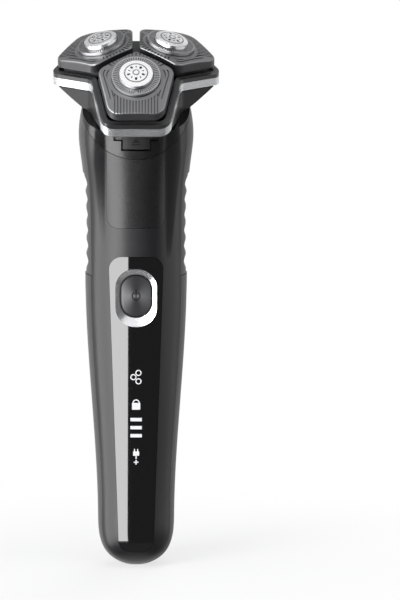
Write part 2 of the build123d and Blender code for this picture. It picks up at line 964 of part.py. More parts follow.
with BuildPart() as trimmer_slide:
    add(
        skin(
            -slide_proud,
            slide_recess - running_fit,
            block(
                (-slide_width / 2, slide_width / 2),
                (0, handle_depth),
                (slide_top - slide_length, slide_top),
            ),
        )
    )
    add(
        skin(
            slide_recess - running_fit,
            wall + flange_thickness,
            block(
                (-slide_stem / 2, slide_stem / 2),
                (0, handle_depth),
                (slide_top - slide_length + 2 * slip_gap, slide_top - 2 * slip_gap),
            ),
        )
    )
    add(
        skin(-2 * slide_proud, slide_groove_depth - slide_proud, slide_path) & slide_grooves.part,
        mode=Mode.SUBTRACT,
    )
save(trimmer_slide.part, "trimmer_slide")

# The drive: a ball-ended motor shaft turns a slanted shaft whose hexagon drives the sun gear
hex_sides = 6
ball_radius = 1.65
socket_radius = 2.1
socket_wall = 1.1
socket_mouth = 0.8
socket_room = 1.8
socket_roof = 0.5
hex_radius = 1.7
neck_radius = 0.85
unit_gap = 0.1
base_floor = 1.4
gear_thickness = 2.0
gear_gap = 0.15
spindle_shaft_radius = 1.1
spindle_pivot_radius = 0.8
cover_thickness = 1.0
gear_low = -head_height + unit_gap + base_floor + gear_gap
gear_high = gear_low + gear_thickness
cover_high = gear_high + gear_gap + cover_thickness


def ball_hexagon(plane, turn):
    """A ball cut to six sides, centred on a plane's origin."""
    with BuildPart() as ball:
        with BuildSketch(plane.offset(-ball_radius)):
            RegularPolygon(ball_radius, hex_sides, major_radius=True, rotation=turn)
        extrude(amount=2 * ball_radius)
        with Locations(plane):
            Sphere(ball_radius, mode=Mode.INTERSECT)
    return ball.part


universal_low_plane = Plane(origin=universal_centre, x_dir=(1, 0, 0), z_dir=(0, 0, 1))
universal_plane = Plane(origin=universal_centre, x_dir=(1, 0, 0), z_dir=head_axis)

with BuildPart() as motor_shaft:
    add(ball_hexagon(universal_low_plane, 0))
    shaft_low = motor_low
    with BuildSketch(Plane.XY.offset(shaft_low)):
        with Locations((0, motor_y)):
            Circle(drive_radius / 2)
    extrude(amount=universal_centre.Z - shaft_low)
save(motor_shaft.part, "motor_shaft")

hex_length = base_floor + gear_gap + gear_thickness
with BuildPart() as drive_shaft:
    with BuildSketch(universal_plane.offset(-socket_mouth)):
        Circle(socket_radius + socket_wall)
    extrude(amount=socket_mouth + socket_room + socket_roof)
    with BuildSketch(universal_plane.offset(-socket_mouth)):
        RegularPolygon(socket_radius, hex_sides, major_radius=False)
    extrude(amount=socket_mouth + socket_room, mode=Mode.SUBTRACT)
    with BuildSketch(universal_plane.offset(socket_room)):
        Circle(drive_radius)
    extrude(amount=universal_drop - socket_room)
    with BuildSketch(universal_plane.offset(universal_drop - unit_gap)):
        RegularPolygon(hex_radius, hex_sides, major_radius=False)
    extrude(amount=hex_length)
save(drive_shaft.part, "drive_shaft")


addendum_share = 0.8
dedendum_share = 1.1
tooth_root_share = 0.3
tooth_tip_share = 0.11


def gear_blank(plane, teeth, turn, thickness):
    """A toothed wheel on a plane, one tooth at the turn angle."""
    pitch_radius = gear_module * teeth / 2
    tip_radius = pitch_radius + addendum_share * gear_module
    root_radius = pitch_radius - dedendum_share * gear_module
    tooth_angle = 2 * pi / teeth
    outline = []
    for tooth in range(teeth):
        middle = radians(turn) + tooth * tooth_angle
        for radius, share in (
            (root_radius, -tooth_root_share),
            (tip_radius, -tooth_tip_share),
            (tip_radius, tooth_tip_share),
            (root_radius, tooth_root_share),
        ):
            angle = middle + share * tooth_angle
            outline.append((radius * cos(angle), radius * sin(angle)))
    with BuildPart() as wheel:
        with BuildSketch(plane):
            Polygon(*outline, align=None)
        extrude(amount=thickness)
    return wheel.part


sun_pin_radius = 1.0
with BuildPart() as sun_gear:
    add(gear_blank(head_plane.offset(gear_low), sun_teeth, -90, gear_thickness))
    with BuildSketch(head_plane.offset(gear_high)):
        Circle(sun_pin_radius)
    extrude(amount=gear_gap + cover_thickness)
    with BuildSketch(head_plane.offset(gear_low)):
        RegularPolygon(hex_radius + unit_gap, hex_sides, major_radius=False)
    extrude(amount=gear_thickness - unit_gap, mode=Mode.SUBTRACT)
save(sun_gear.part, "sun_gear")

# The drive and the pods are drawn for the right-hand pod and turned about the head's axis
drawn_angle = pod_angles["right"]
head_line = Axis(neck_centre, head_axis)


def save_turned(piece, name):
    """One copy of a piece for each pod."""
    for pod, angle in pod_angles.items():
        save(piece.rotate(head_line, angle - drawn_angle), f"{name}_{pod}")


pivot = pod_plane(drawn_angle).offset(-pivot_depth).origin
foot = neck_centre + radial(drawn_angle) * spindle_radius
spindle_plane = Plane(origin=foot, x_dir=radial(drawn_angle), z_dir=head_axis)
pivot_rise = (pivot - foot).dot(head_axis)
with BuildPart() as spindle:
    add(
        gear_blank(
            spindle_plane.offset(head_height + gear_low),
            planet_teeth,
            180 + 180 / planet_teeth,
            gear_thickness,
        )
    )
    with BuildSketch(spindle_plane.offset(head_height + gear_low - base_floor / 2)):
        Circle(spindle_pivot_radius)
    extrude(amount=base_floor / 2)
    with BuildSketch(spindle_plane.offset(head_height + gear_high)):
        Circle(spindle_shaft_radius)
    extrude(amount=pivot_rise - head_height - gear_high - ball_radius)
    with BuildSketch(spindle_plane.offset(pivot_rise - ball_radius)):
        Circle(neck_radius)
    extrude(amount=ball_radius)
    add(ball_hexagon(Plane(origin=pivot, x_dir=radial(drawn_angle), z_dir=head_axis), 0))
save_turned(spindle.part, "drive_spindle")

# The shaving unit's base: a tray that follows the three lobes and narrows to the neck
base_wall = 1.3
cone_foot_radius = 17.0
cone_slope = 1.93
cone_height = 6.0
base_low = unit_gap - head_height
base_trim_gap = 0.3
neck_radius_out = cup_radius - inlay_gap
neck_radius_in = 5.6
neck_length = cup_depth - unit_gap - slip_gap
tongue_width = notch_width - 2 * slip_gap
tongue_low = notch_low + slip_gap
button_tongue_width = button_notch_width - 2 * slip_gap
button_tongue_low = button_notch_low + slip_gap
tongue_back = notch_front - slip_gap
tongue_recess = 1.3
release_width = 8.4
release_low = 134.8
release_top = 139.3
release_depth = 1.2
release_travel = 0.6
release_window = 0.2
release_floor = 1.0
hinge_reach = 17.6
hinge_drop = 12.6
holder_hinge_radius = 0.9
hinge_barrel_radius = 1.9
hinge_barrel_half = 3.0
hinge_ear_width = 2.0
hinge_set_in = 0.9
rear_slope = radians(35)
base_web_reach = 3.0
shaft_room = 0.9
holder_web_reach = 4.4
holder_web_low = 0.4
ear_gap = 0.2


def cone_zone(lift, narrowing):
    """The cone under the head that narrows to the neck."""
    foot = cone_foot_radius - narrowing
    with BuildPart() as zone:
        with Locations(head_plane.offset(base_low + lift)):
            Cone(
                foot,
                foot + cone_slope * cone_height,
                cone_height,
                align=(Align.CENTER, Align.CENTER, Align.MIN),
            )
        with BuildSketch(head_plane.offset(base_low + lift + cone_height)):
            Circle(foot + cone_slope * cone_height)
        extrude(amount=head_height)
    return zone.part


hinge_centre = (
    head_centre + head_plane.y_dir * hinge_reach - head_axis * hinge_drop
)
holder_hinge_plane = Plane(origin=hinge_centre, x_dir=head_plane.y_dir, z_dir=(1, 0, 0))


def hinge_knuckle(start, stop, web_reach, web_low, web_high):
    """A round knuckle on the holder's hinge line with a web that runs in to the head."""
    with BuildPart() as knuckle:
        with BuildSketch(holder_hinge_plane.offset(start)):
            Circle(hinge_barrel_radius)
            with Locations((-web_reach / 2, (web_low + web_high) / 2)):
                Rectangle(web_reach, web_high - web_low)
        extrude(amount=stop - start)
    return knuckle.part


def hinge_room(half, radius):
    """Space about the hinge line that other pieces leave free."""
    with BuildPart() as room:
        with BuildSketch(holder_hinge_plane.offset(-half)):
            Circle(radius)
            with Locations((radius, radius)):
                Rectangle(2 * radius, 2 * radius)
        extrude(amount=2 * half)
    return room.part


def base_lobes(inset, low):
    """The tray's outline drawn in by an inset; its rear corners stop at the hinge line."""
    lobes = three_lobes(
        trim_margin - inset, trim_end_margin - inset, (low, 0), valley_round, end_round - inset
    )
    rear = Plane(
        origin=hinge_centre - head_plane.y_dir * (hinge_set_in + inset),
        x_dir=(1, 0, 0),
        z_dir=head_plane.y_dir * cos(rear_slope) - head_axis * sin(rear_slope),
    )
    with BuildPart() as tray:
        add(lobes)
        split(bisect_by=rear, keep=Keep.BOTTOM)
    return tray.part


with BuildPart() as tongue:
    for width, low in (
        (tongue_width, tongue_low),
        (button_tongue_width, button_tongue_low),
    ):
        add(
            handle_form(tongue_recess)
            & block(
                (-width / 2, width / 2),
                (-handle_depth, tongue_back),
                (low, neck_height),
            )
        )
    split(bisect_by=neck_plane.offset(unit_gap + base_floor / 2), keep=Keep.BOTTOM)

with BuildPart() as unit_base:
    add(base_lobes(0, base_low))
    add(cone_zone(0, 0), mode=Mode.INTERSECT)
    add(pod_pyramid(trim_depth + trim_height + base_trim_gap), mode=Mode.INTERSECT)
    add(
        base_lobes(base_wall, base_low + base_floor) & cone_zone(base_floor, base_wall / 2),
        mode=Mode.SUBTRACT,
    )
    with BuildSketch(head_plane.offset(base_low)):
        Circle(neck_radius_out)
        Circle(neck_radius_in, mode=Mode.SUBTRACT)
    extrude(amount=-neck_length)
    with BuildSketch(head_plane.offset(base_low)):
        Circle(drive_radius + shaft_room)
    extrude(amount=base_floor, mode=Mode.SUBTRACT)
    for angle in pod_angles.values():
        with BuildSketch(head_plane.offset(base_low + base_floor)):
            with PolarLocations(spindle_radius, 1, start_angle=angle):
                Circle(spindle_pivot_radius + running_fit)
        extrude(amount=-base_floor / 2 - unit_gap, mode=Mode.SUBTRACT)
    add(tongue.part)
    for side in (-1, 1):
        inner = hinge_barrel_half + ear_gap
        outer = inner + hinge_ear_width
        span = sorted((side * inner, side * outer))
        add(hinge_knuckle(span[0], span[1], base_web_reach, -hinge_barrel_radius, 0))
    add(hinge_room(hinge_barrel_half + ear_gap, hinge_barrel_radius + ear_gap), mode=Mode.SUBTRACT)
    add(
        rod(holder_hinge_plane.offset(-handle_width), holder_hinge_radius, 2 * handle_width),
        mode=Mode.SUBTRACT,
    )
    add(
        block(
            (-release_width / 2 - release_window, release_width / 2 + release_window),
            (-handle_depth, tongue_back - release_floor),
            (release_low - release_window, release_top + release_window),
        ),
        mode=Mode.SUBTRACT,
    )
save(unit_base.part, "unit_base")

with BuildPart() as holder_hinge_pin:
    add(
        rod(
            holder_hinge_plane.offset(-hinge_barrel_half - ear_gap - hinge_ear_width),
            holder_hinge_radius,
            2 * (hinge_barrel_half + ear_gap + hinge_ear_width),
        )
    )
save(holder_hinge_pin.part, "holder_hinge_pin")

with BuildPart() as release_button:
    add(
        handle_form(tongue_recess - release_depth)
        & block(
            (-release_width / 2, release_width / 2),
            (-handle_depth, tongue_back - release_floor - release_travel - seam_gap),
            (release_low, release_top),
        )
    )
save(release_button.part, "release_button")

# A cover over the gears, standing on the tray's floor
cover_reach = 5.6
cover_middle_radius = 7.2
cover_wall = 0.7
with BuildPart() as gear_cover:
    for shrink, high, how in (
        (0, cover_high, Mode.ADD),
        (cover_wall, cover_high - cover_thickness, Mode.SUBTRACT),
    ):
        with BuildSketch(head_plane.offset(base_low + base_floor)):
            Circle(cover_middle_radius - shrink)
            for angle in pod_angles.values():
                with PolarLocations(spindle_radius, 1, start_angle=angle):
                    Circle(cover_reach - shrink)
        extrude(amount=high - base_low - base_floor, mode=how)
    with BuildSketch(head_plane.offset(cover_high)):
        Circle(sun_pin_radius + running_fit)
        for angle in pod_angles.values():
            with PolarLocations(spindle_radius, 1, start_angle=angle):
                Circle(spindle_shaft_radius + running_fit)
    extrude(amount=-cover_thickness, mode=Mode.SUBTRACT)
save(gear_cover.part, "gear_cover")

# The holder: a dark frame with hub, spokes and ears, and a bright trim round it
with BuildPart() as trim_layer:
    add(pod_pyramid(trim_depth))
    add(pod_pyramid(trim_depth + trim_height), mode=Mode.SUBTRACT)

sight_width = 7.0
sight_height = 11.2
with BuildPart() as sight_notch:
    with BuildSketch(head_plane.offset(-sight_height)):
        with Locations((0, hinge_reach)):
            Rectangle(sight_width, hinge_reach)
    extrude(amount=sight_height)

ear_room = hinge_room(
    hinge_barrel_half + 2 * ear_gap + hinge_ear_width, hinge_barrel_radius + trim_wall
)

with BuildPart() as head_trim:
    add(
        three_lobes(
            trim_margin, trim_end_margin, (-head_height, 0), valley_round, end_round
        )
    )
    add(
        three_lobes(
            trim_margin - trim_wall,
            trim_end_margin - trim_wall,
            (-head_height, 0),
            valley_round,
            end_round - trim_wall,
        ),
        mode=Mode.SUBTRACT,
    )
    add(trim_layer.part, mode=Mode.INTERSECT)
    add(sight_notch.part, mode=Mode.SUBTRACT)
    add(ear_room, mode=Mode.SUBTRACT)
save(head_trim.part, "head_trim")

gimbal_radius = 7.4
gimbal_wall = 1.4
gimbal_height = 1.5
gimbal_pin_radius = 0.6
gimbal_pin_length = 1.1
hub_radius = 2.6
spoke_width = 2.2
spoke_turn = 180
spoke_low = -12.0
spoke_height = 2.0
hub_height = 3.4
pod_ear_half = 1.8
pod_ear_depth = 1.3

with BuildPart() as frame_ring:
    add(
        three_lobes(
            trim_margin - trim_wall,
            trim_end_margin - trim_wall,
            (-head_height, 0),
            valley_round,
            end_round - trim_wall,
        )
    )
    add(
        three_lobes(
            trim_margin - trim_wall - frame_wall,
            trim_end_margin - trim_wall - frame_wall,
            (-head_height, 0),
            valley_round,
            end_round - trim_wall - frame_wall,
        ),
        mode=Mode.SUBTRACT,
    )
    add(trim_layer.part, mode=Mode.INTERSECT)
    add(sight_notch.part, mode=Mode.SUBTRACT)
    add(ear_room, mode=Mode.SUBTRACT)

with BuildPart() as holder_frame:
    add(frame_ring.part)
    with BuildSketch(head_plane.offset(spoke_low)):
        Circle(hub_radius)
        for angle in pod_angles.values():
            with Locations(Location((0, 0, 0), (0, 0, angle + spoke_turn))):
                Rectangle(pod_reach, spoke_width, align=(Align.MIN, Align.CENTER))
    extrude(amount=spoke_height)
    with BuildSketch(head_plane.offset(spoke_low)):
        Circle(hub_radius)
    extrude(amount=hub_height)
    for angle in pod_angles.values():
        ear_plane = pod_plane(angle).offset(-pivot_depth - pod_ear_depth)
        ear_start = gimbal_radius + slip_gap
        with BuildSketch(ear_plane):
            with Locations((0, ear_start)):
                Rectangle(2 * pod_ear_half, pod_reach, align=(Align.CENTER, Align.MIN))
        extrude(amount=2 * pod_ear_depth)
    add(
        three_lobes(
            trim_margin - trim_wall - frame_wall / 2,
            trim_end_margin - trim_wall - frame_wall / 2,
            (-head_height, 0),
            valley_round,
            end_round - trim_wall - frame_wall / 2,
        )
        + frame_ring.part,
        mode=Mode.INTERSECT,
    )
    for angle in pod_angles.values():
        pin_plane = Plane(
            origin=pod_plane(angle).offset(-pivot_depth).origin,
            x_dir=pod_plane(angle).x_dir,
            z_dir=pod_plane(angle).y_dir,
        )
        add(
            rod(
                pin_plane.offset(-gimbal_radius - gimbal_pin_length - slip_gap),
                gimbal_pin_radius + running_fit,
                2 * (gimbal_radius + gimbal_pin_length + slip_gap),
            ),
            mode=Mode.SUBTRACT,
        )
    add(
        hinge_knuckle(
            -hinge_barrel_half,
            hinge_barrel_half,
            holder_web_reach,
            holder_web_low,
            hinge_barrel_radius,
        )
    )
    add(
        rod(
            holder_hinge_plane.offset(-handle_width),
            holder_hinge_radius + running_fit,
            2 * handle_width,
        ),
        mode=Mode.SUBTRACT,
    )
save(holder_frame.part, "holder_frame")

# Pods: gimbal ring, body, slotted guard and bladed cutter
guard_radius = 7.65
guard_rise = 0.7
guard_skin = 0.5
guard_cut = 3 * guard_skin
guard_flange = 0.65
guard_step_radius = 5.5
guard_step = 0.9
guard_fit = 0.1
slot_count = 60
slot_width = 0.26
slot_inner = 5.9
slot_outer = 7.3
pod_skin = 1.2
lug_width = 2.6
lug_thickness = 1.2
cutter_radius = 6.9
cutter_plate = 0.8
cutter_depth = 2.0
cutter_blades = 15
blade_width = 0.5
blade_length = 1.4
blade_clearance = 0.15
hub_out_radius = 3.1
socket_depth = 4.4

# White disc on each guard
disc_radius = 5.2
disc_height = 0.8
disc_crown_radius = 22.0
disc_line_radius = 3.6
disc_line_width = 0.25
disc_line_depth = 0.25
disc_eye_radius = 0.9
disc_slot_count = 5
long_slot_middle = 2.4
long_slot_length = 1.1
long_slot_width = 0.75
short_slot_middle = 2.3
short_slot_length = 0.7
short_slot_width = 0.35

# Fine grooves in a pod's crown: ribs at its outer end, lines on its flanks, ticks at its apex
pod_edge_round = 0.6
groove_depth = 0.25
rib_pitch_across = 0.95
rib_groove_count = 15
rib_groove_width = 0.35
groove_free_radius = 9.0
flank_insets = (1.3, 2.3, 3.3)
flank_line_width = 0.35
flank_start = pod_shoulder / 3
flank_low = -3.5
flank_high = 8.0
tick_count = 17
tick_spread = 7.0
tick_length = 1.5
tick_middle = 9.6
tick_width = 0.45

lug_start = guard_radius + guard_flange + guard_fit


def pod_prism(angle, inset):
    """A pod's outline drawn in by an inset, as a prism along the head's axis."""
    half = pod_shoulder - inset
    start = (pod_gap / 2 + inset) / sin(pi / len(pod_angles))
    end_half = pod_end_width / 2 - inset
    with BuildPart() as prism:
        with BuildSketch(lobe_plane(angle).offset(-head_height)) as outline:
            Polygon(
                (0, start),
                (half, start + half * shoulder_share),
                (end_half, pod_reach - inset),
                (-end_half, pod_reach - inset),
                (-half, start + half * shoulder_share),
                align=None,
            )
            fillet(outline.vertices().group_by(Axis.Y)[0], apex_round)
            fillet(outline.vertices().group_by(Axis.X)[0], shoulder_round)
            fillet(outline.vertices().group_by(Axis.X)[-1], shoulder_round)
            corners = sorted(outline.vertices(), key=distance_out)
            fillet(corners[-2:], end_round - inset)
        extrude(amount=2 * head_height)
    return prism.part


plane = pod_plane(drawn_angle)
pivot_plane = plane.offset(-pivot_depth)
across = Plane(origin=pivot_plane.origin, x_dir=plane.y_dir, z_dir=plane.x_dir)
along = Plane(origin=pivot_plane.origin, x_dir=plane.x_dir, z_dir=plane.y_dir)

with BuildPart() as gimbal:
    with BuildSketch(pivot_plane.offset(-gimbal_height / 2)):
        Circle(gimbal_radius)
        Circle(gimbal_radius - gimbal_wall, mode=Mode.SUBTRACT)
    extrude(amount=gimbal_height)
    for side in (-1, 1):
        with BuildSketch(along.offset(side * (gimbal_radius - gimbal_wall / 2))):
            Circle(gimbal_pin_radius)
        extrude(amount=side * (gimbal_wall / 2 + gimbal_pin_length))
    with BuildSketch(across.offset(-gimbal_radius)):
        Circle(gimbal_pin_radius + running_fit)
    extrude(amount=2 * gimbal_radius, mode=Mode.SUBTRACT)
save_turned(gimbal.part, "gimbal_ring")

with BuildPart() as pod_room:
    add(pod_prism(drawn_angle, pod_wall))
    with Locations(plane.offset(-pod_crown_radius)):
        Sphere(pod_crown_radius - pod_skin, mode=Mode.INTERSECT)
with BuildPart() as flank_lines:
    for inset in flank_insets:
        add(pod_prism(drawn_angle, inset))
        add(pod_prism(drawn_angle, inset + flank_line_width), mode=Mode.SUBTRACT)
    with BuildSketch(plane.offset(-head_height)):
        for side in (-1, 1):
            with Locations((side * pod_reach / 2, (flank_low + flank_high) / 2)):
                Rectangle(pod_reach - 2 * flank_start, flank_high - flank_low)
    extrude(amount=2 * head_height, mode=Mode.INTERSECT)
    with BuildSketch(plane.offset(-head_height)):
        Circle(groove_free_radius)
    extrude(amount=2 * head_height, mode=Mode.SUBTRACT)

with BuildPart() as pod_grooves:
    with BuildSketch(plane.offset(-pod_depth)):
        with Locations((0, pod_reach / 2)):
            with GridLocations(rib_pitch_across, 0, rib_groove_count, 1):
                Rectangle(rib_groove_width, pod_reach)
        Circle(groove_free_radius, mode=Mode.SUBTRACT)
        with PolarLocations(
            tick_middle,
            tick_count,
            start_angle=-90 - tick_spread * (tick_count - 1) / 2,
            angular_range=tick_spread * tick_count,
        ):
            Rectangle(tick_length, tick_width)
    extrude(amount=2 * pod_depth)
    add(flank_lines.part)
    with Locations(plane.offset(-pod_crown_radius)):
        Sphere(pod_crown_radius - groove_depth, mode=Mode.SUBTRACT)

with BuildPart() as pod_body:
    add(pod_prism(drawn_angle, 0))
    with Locations(plane.offset(-pod_crown_radius)):
        Sphere(pod_crown_radius, mode=Mode.INTERSECT)
    split(bisect_by=plane.offset(-pod_depth), keep=Keep.TOP)
    crown = pod_body.faces().sort_by(Axis(plane.origin, plane.z_dir))[-1]
    fillet(crown.edges(), pod_edge_round)
    add(pod_room.part, mode=Mode.SUBTRACT)
    add(pod_grooves.part, mode=Mode.SUBTRACT)
    for side in (-1, 1):
        with BuildSketch(pivot_plane.offset(-lug_width / 2)):
            with Locations((side * (lug_start + lug_thickness / 2), 0)):
                Rectangle(lug_thickness, lug_width)
        extrude(amount=pivot_depth + lug_width / 2 - pod_skin)
        with BuildSketch(across.offset(side * (gimbal_radius - gimbal_wall / 2))):
            Circle(gimbal_pin_radius)
        extrude(amount=side * (lug_start - gimbal_radius + gimbal_wall / 2))
    with BuildSketch(plane.offset(-pod_depth)):
        Circle(guard_radius + guard_fit)
    extrude(amount=2 * pod_depth, mode=Mode.SUBTRACT)
save_turned(pod_body.part, "pod")

disc_plane = plane.offset(guard_rise + guard_step)
with BuildPart() as disc_slots:
    with BuildSketch(disc_plane.offset(-guard_step)):
        with PolarLocations(long_slot_middle, disc_slot_count, start_angle=90):
            SlotOverall(long_slot_length, long_slot_width)
        with PolarLocations(
            short_slot_middle, disc_slot_count, start_angle=90 + 180 / disc_slot_count
        ):
            SlotOverall(short_slot_length, short_slot_width)
    extrude(amount=guard_step + 2 * disc_height)

section = Plane(origin=plane.origin, x_dir=plane.x_dir, z_dir=-plane.y_dir)
flange_fall = (guard_radius + guard_flange) ** 2 / (2 * pod_crown_radius)
flange_top = -pod_skin - flange_fall - guard_fit
with BuildPart() as guard:
    with BuildSketch(section):
        Polygon(
            (guard_radius - guard_skin, flange_top - guard_skin),
            (guard_radius + guard_flange, flange_top - guard_skin),
            (guard_radius + guard_flange, flange_top),
            (guard_radius, flange_top),
            (guard_radius, guard_rise),
            (guard_step_radius, guard_rise),
            (guard_step_radius - guard_skin / 2, guard_rise + guard_step),
            (0, guard_rise + guard_step),
            (0, guard_rise + guard_step - guard_skin),
            (guard_step_radius - guard_cut / 2, guard_rise + guard_step - guard_skin),
            (guard_step_radius - guard_skin, guard_rise - guard_skin),
            (guard_radius - guard_skin, guard_rise - guard_skin),
            align=None,
        )
    revolve(axis=Axis(plane.origin, plane.z_dir))
    with BuildSketch(plane.offset(guard_rise - 2 * guard_skin)):
        with PolarLocations((slot_inner + slot_outer) / 2, slot_count):
            Rectangle(slot_outer - slot_inner, slot_width)
    extrude(amount=guard_cut, mode=Mode.SUBTRACT)
    add(disc_slots.part, mode=Mode.SUBTRACT)
save_turned(guard.part, "guard")

with BuildPart() as cutter:
    with BuildSketch(plane.offset(-cutter_depth)):
        Circle(cutter_radius)
    extrude(amount=-cutter_plate)
    with BuildSketch(plane.offset(-cutter_depth)):
        with PolarLocations(cutter_radius - blade_length / 2 - guard_fit, cutter_blades):
            Rectangle(blade_length, blade_width)
    extrude(amount=cutter_depth + guard_rise - guard_skin - blade_clearance)
    with BuildSketch(pivot_plane.offset(-socket_mouth)):
        Circle(hub_out_radius)
    extrude(amount=pivot_depth + socket_mouth - cutter_depth - cutter_plate)
    with BuildSketch(pivot_plane.offset(-socket_mouth)):
        RegularPolygon(socket_radius, hex_sides, major_radius=False)
    extrude(amount=socket_depth, mode=Mode.SUBTRACT)
save_turned(cutter.part, "cutter")

with BuildPart() as cap_disc:
    with BuildSketch(disc_plane):
        Circle(disc_radius)
    extrude(amount=disc_height)
    with Locations(disc_plane.offset(disc_height - disc_crown_radius)):
        Sphere(disc_crown_radius, mode=Mode.INTERSECT)
    with BuildSketch(disc_plane.offset(disc_height - disc_line_depth)):
        for radius in (disc_line_radius, disc_eye_radius):
            Circle(radius + disc_line_width / 2)
            Circle(radius - disc_line_width / 2, mode=Mode.SUBTRACT)
    extrude(amount=disc_height, mode=Mode.SUBTRACT)
    add(disc_slots.part, mode=Mode.SUBTRACT)
save_turned(cap_disc.part, "cap_disc")
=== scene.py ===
import json
from math import cos, radians, sin

import bpy
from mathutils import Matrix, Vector
from mathutils.bvhtree import BVHTree


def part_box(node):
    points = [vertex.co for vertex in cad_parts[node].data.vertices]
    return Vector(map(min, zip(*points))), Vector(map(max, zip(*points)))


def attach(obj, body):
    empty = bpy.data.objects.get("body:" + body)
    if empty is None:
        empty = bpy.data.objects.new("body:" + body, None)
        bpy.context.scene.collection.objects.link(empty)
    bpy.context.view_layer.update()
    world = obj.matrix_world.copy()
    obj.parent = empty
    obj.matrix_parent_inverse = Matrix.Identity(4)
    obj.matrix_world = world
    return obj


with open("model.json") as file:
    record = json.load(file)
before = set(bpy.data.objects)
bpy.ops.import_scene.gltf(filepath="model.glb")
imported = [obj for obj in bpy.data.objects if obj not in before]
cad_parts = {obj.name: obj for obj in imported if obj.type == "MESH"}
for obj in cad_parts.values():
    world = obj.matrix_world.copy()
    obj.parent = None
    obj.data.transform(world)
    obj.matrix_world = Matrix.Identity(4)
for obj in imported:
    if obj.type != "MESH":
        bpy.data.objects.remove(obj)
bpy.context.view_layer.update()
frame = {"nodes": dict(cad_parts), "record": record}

# Places are in metres, in the frame of the CAD: +Z up, the front faces -Y
MM = 0.001
RAY_START = 0.2
PODS = ("front", "right", "left")
JOINTS = {joint["name"]: joint for joint in frame["record"]["behaviour"]["joints"]}
BUTTON_CENTRE = (0, 0, 88.25 * MM)


def pod_directions(pod):
    """A pod's cap centre, and its directions across, outward and up."""
    spin = JOINTS["cutter_spin_" + pod]
    cap, up = Vector(spin["pos_m"]), Vector(spin["axis"]).normalized()
    out = Vector(JOINTS["pod_roll_" + pod]["axis"]).normalized()
    return cap, out.cross(up), out, up


def height_on_head(point):
    """How high a point lies, measured square to whichever pod it is highest above."""
    return max((point - cap).dot(up) for cap, _, _, up in map(pod_directions, PODS))


# Nodes -----------------------------------------------------------------------------------
def add_node(tree, kind, settings=None, *values, **inputs):
    """A node whose inputs, by place or by name, take a number or a link from a socket.

    The settings go first, because they choose which sockets the node has.
    """
    node = tree.nodes.new(kind)
    for key, value in (settings or {}).items():
        setattr(node, key, value)
    for key, value in (*enumerate(values), *inputs.items()):
        socket = node.inputs[key if isinstance(key, int) else key.replace("_", " ")]
        if isinstance(value, bpy.types.NodeSocket):
            tree.links.new(value, socket)
        else:
            socket.default_value = value
    return node


def calculate(tree, operation, *values):
    """The result of a Math node."""
    node = add_node(tree, "ShaderNodeMath", {"operation": operation}, *values)
    return node.outputs["Value"]


def calculate_vector(tree, operation, *values, result="Vector", **inputs):
    """A Vector Math node's result, which is a number where the result is called Value."""
    node = add_node(tree, "ShaderNodeVectorMath", {"operation": operation}, *values, **inputs)
    return node.outputs[result]


def remap(tree, value, source=(0, 1), target=(0, 1), smooth=False):
    """A value carried over from one range to another."""
    shape = {"interpolation_type": "SMOOTHSTEP"} if smooth else None
    node = add_node(
        tree, "ShaderNodeMapRange", shape, Value=value,
        From_Min=source[0], From_Max=source[1], To_Min=target[0], To_Max=target[1],
    )
    return node.outputs["Result"]


def place_on_object(tree):
    return add_node(tree, "ShaderNodeTexCoord").outputs["Object"]


def components(tree, vector):
    """A vector's outputs X, Y and Z."""
    return add_node(tree, "ShaderNodeSeparateXYZ", Vector=vector).outputs


def noise(tree, place, scale, detail):
    node = add_node(tree, "ShaderNodeTexNoise", Vector=place, Scale=scale, Detail=detail)
    return node.outputs["Fac"]


def ramp_between(tree, factor, low, high):
    """A colour ramp from one colour to another."""
    ramp = add_node(tree, "ShaderNodeValToRGB", Fac=factor)
    for element, color in zip(ramp.color_ramp.elements, (low, high)):
        element.color = (*color, 1)
    return ramp.outputs["Color"]


# Materials -------------------------------------------------------------------------------
CLOUD_SCALE, CLOUD_DETAIL = 60.0, 3.0
GRAIN_SCALE, GRAIN_DETAIL, GRAIN_DEPTH = 900.0, 2.0, 0.1 * MM
LEAST_ROUGHNESS = 0.01
COAT_ROUGHNESS = 0.06
# Painted shade in slots and grooves: how far it reaches, how steeply it darkens, its samples
RECESS = 0.6 * MM
RECESS_POWER = 2.5
RECESS_SAMPLES = 8

# Painted highlight fans on the button: how many, how dark and how bright; its brushed rings
HIGHLIGHT_FAN_COUNT = 2.0
HIGHLIGHT_FAN_SHARES = (0.35, 1.7)
BRUSH_SCALE, BRUSH_DETAIL = 9000.0, 4.0
BRUSH_ROUGHNESS = (0.38, 0.58)

# The hollows down the flanks of the neck. A pair goes from the bottom to the top, and the
# edge says at which shares of the half width the hollow starts and ends to fade
FLANK_HEIGHTS = (100.0 * MM, 130.0 * MM)
FLANK_CENTRES = (10.2 * MM, 11.5 * MM)
FLANK_HALF_WIDTHS = (0.9 * MM, 2.4 * MM)
FLANK_EDGE = (0.4, 1.3)
FLANK_LEAN = 0.55

# The lens's bow across from its foot to its top, its fall from its foot to the top of its
# toe, and the range of the normal's Y in which the bow takes over from the mesh
LENS_HEIGHTS = (5.0 * MM, 100.0 * MM)
LENS_BOWS = (34.0, 38.0)
LENS_TOE_HEIGHTS = (5.0 * MM, 12.0 * MM)
LENS_FALLS = (-0.42, -0.07)
LENS_FRONT = (-0.4, -0.7)

# The dark lip of the head's band, and the lean at which a pod's top turns into its
# painted-shade side
TRIM_LIP = 1.3 * MM
TRIM_BLEND = 0.1 * MM
SKIRT_EDGE = (0.5, 0.75)


def new_material(name):
    """An empty node material, with its nodes and its shader."""
    material = bpy.data.materials.new(name)
    material.use_nodes = True
    return material, *nodes_of(material)


def nodes_of(material):
    """A material's node tree and its shader."""
    return material.node_tree, material.node_tree.nodes["Principled BSDF"]


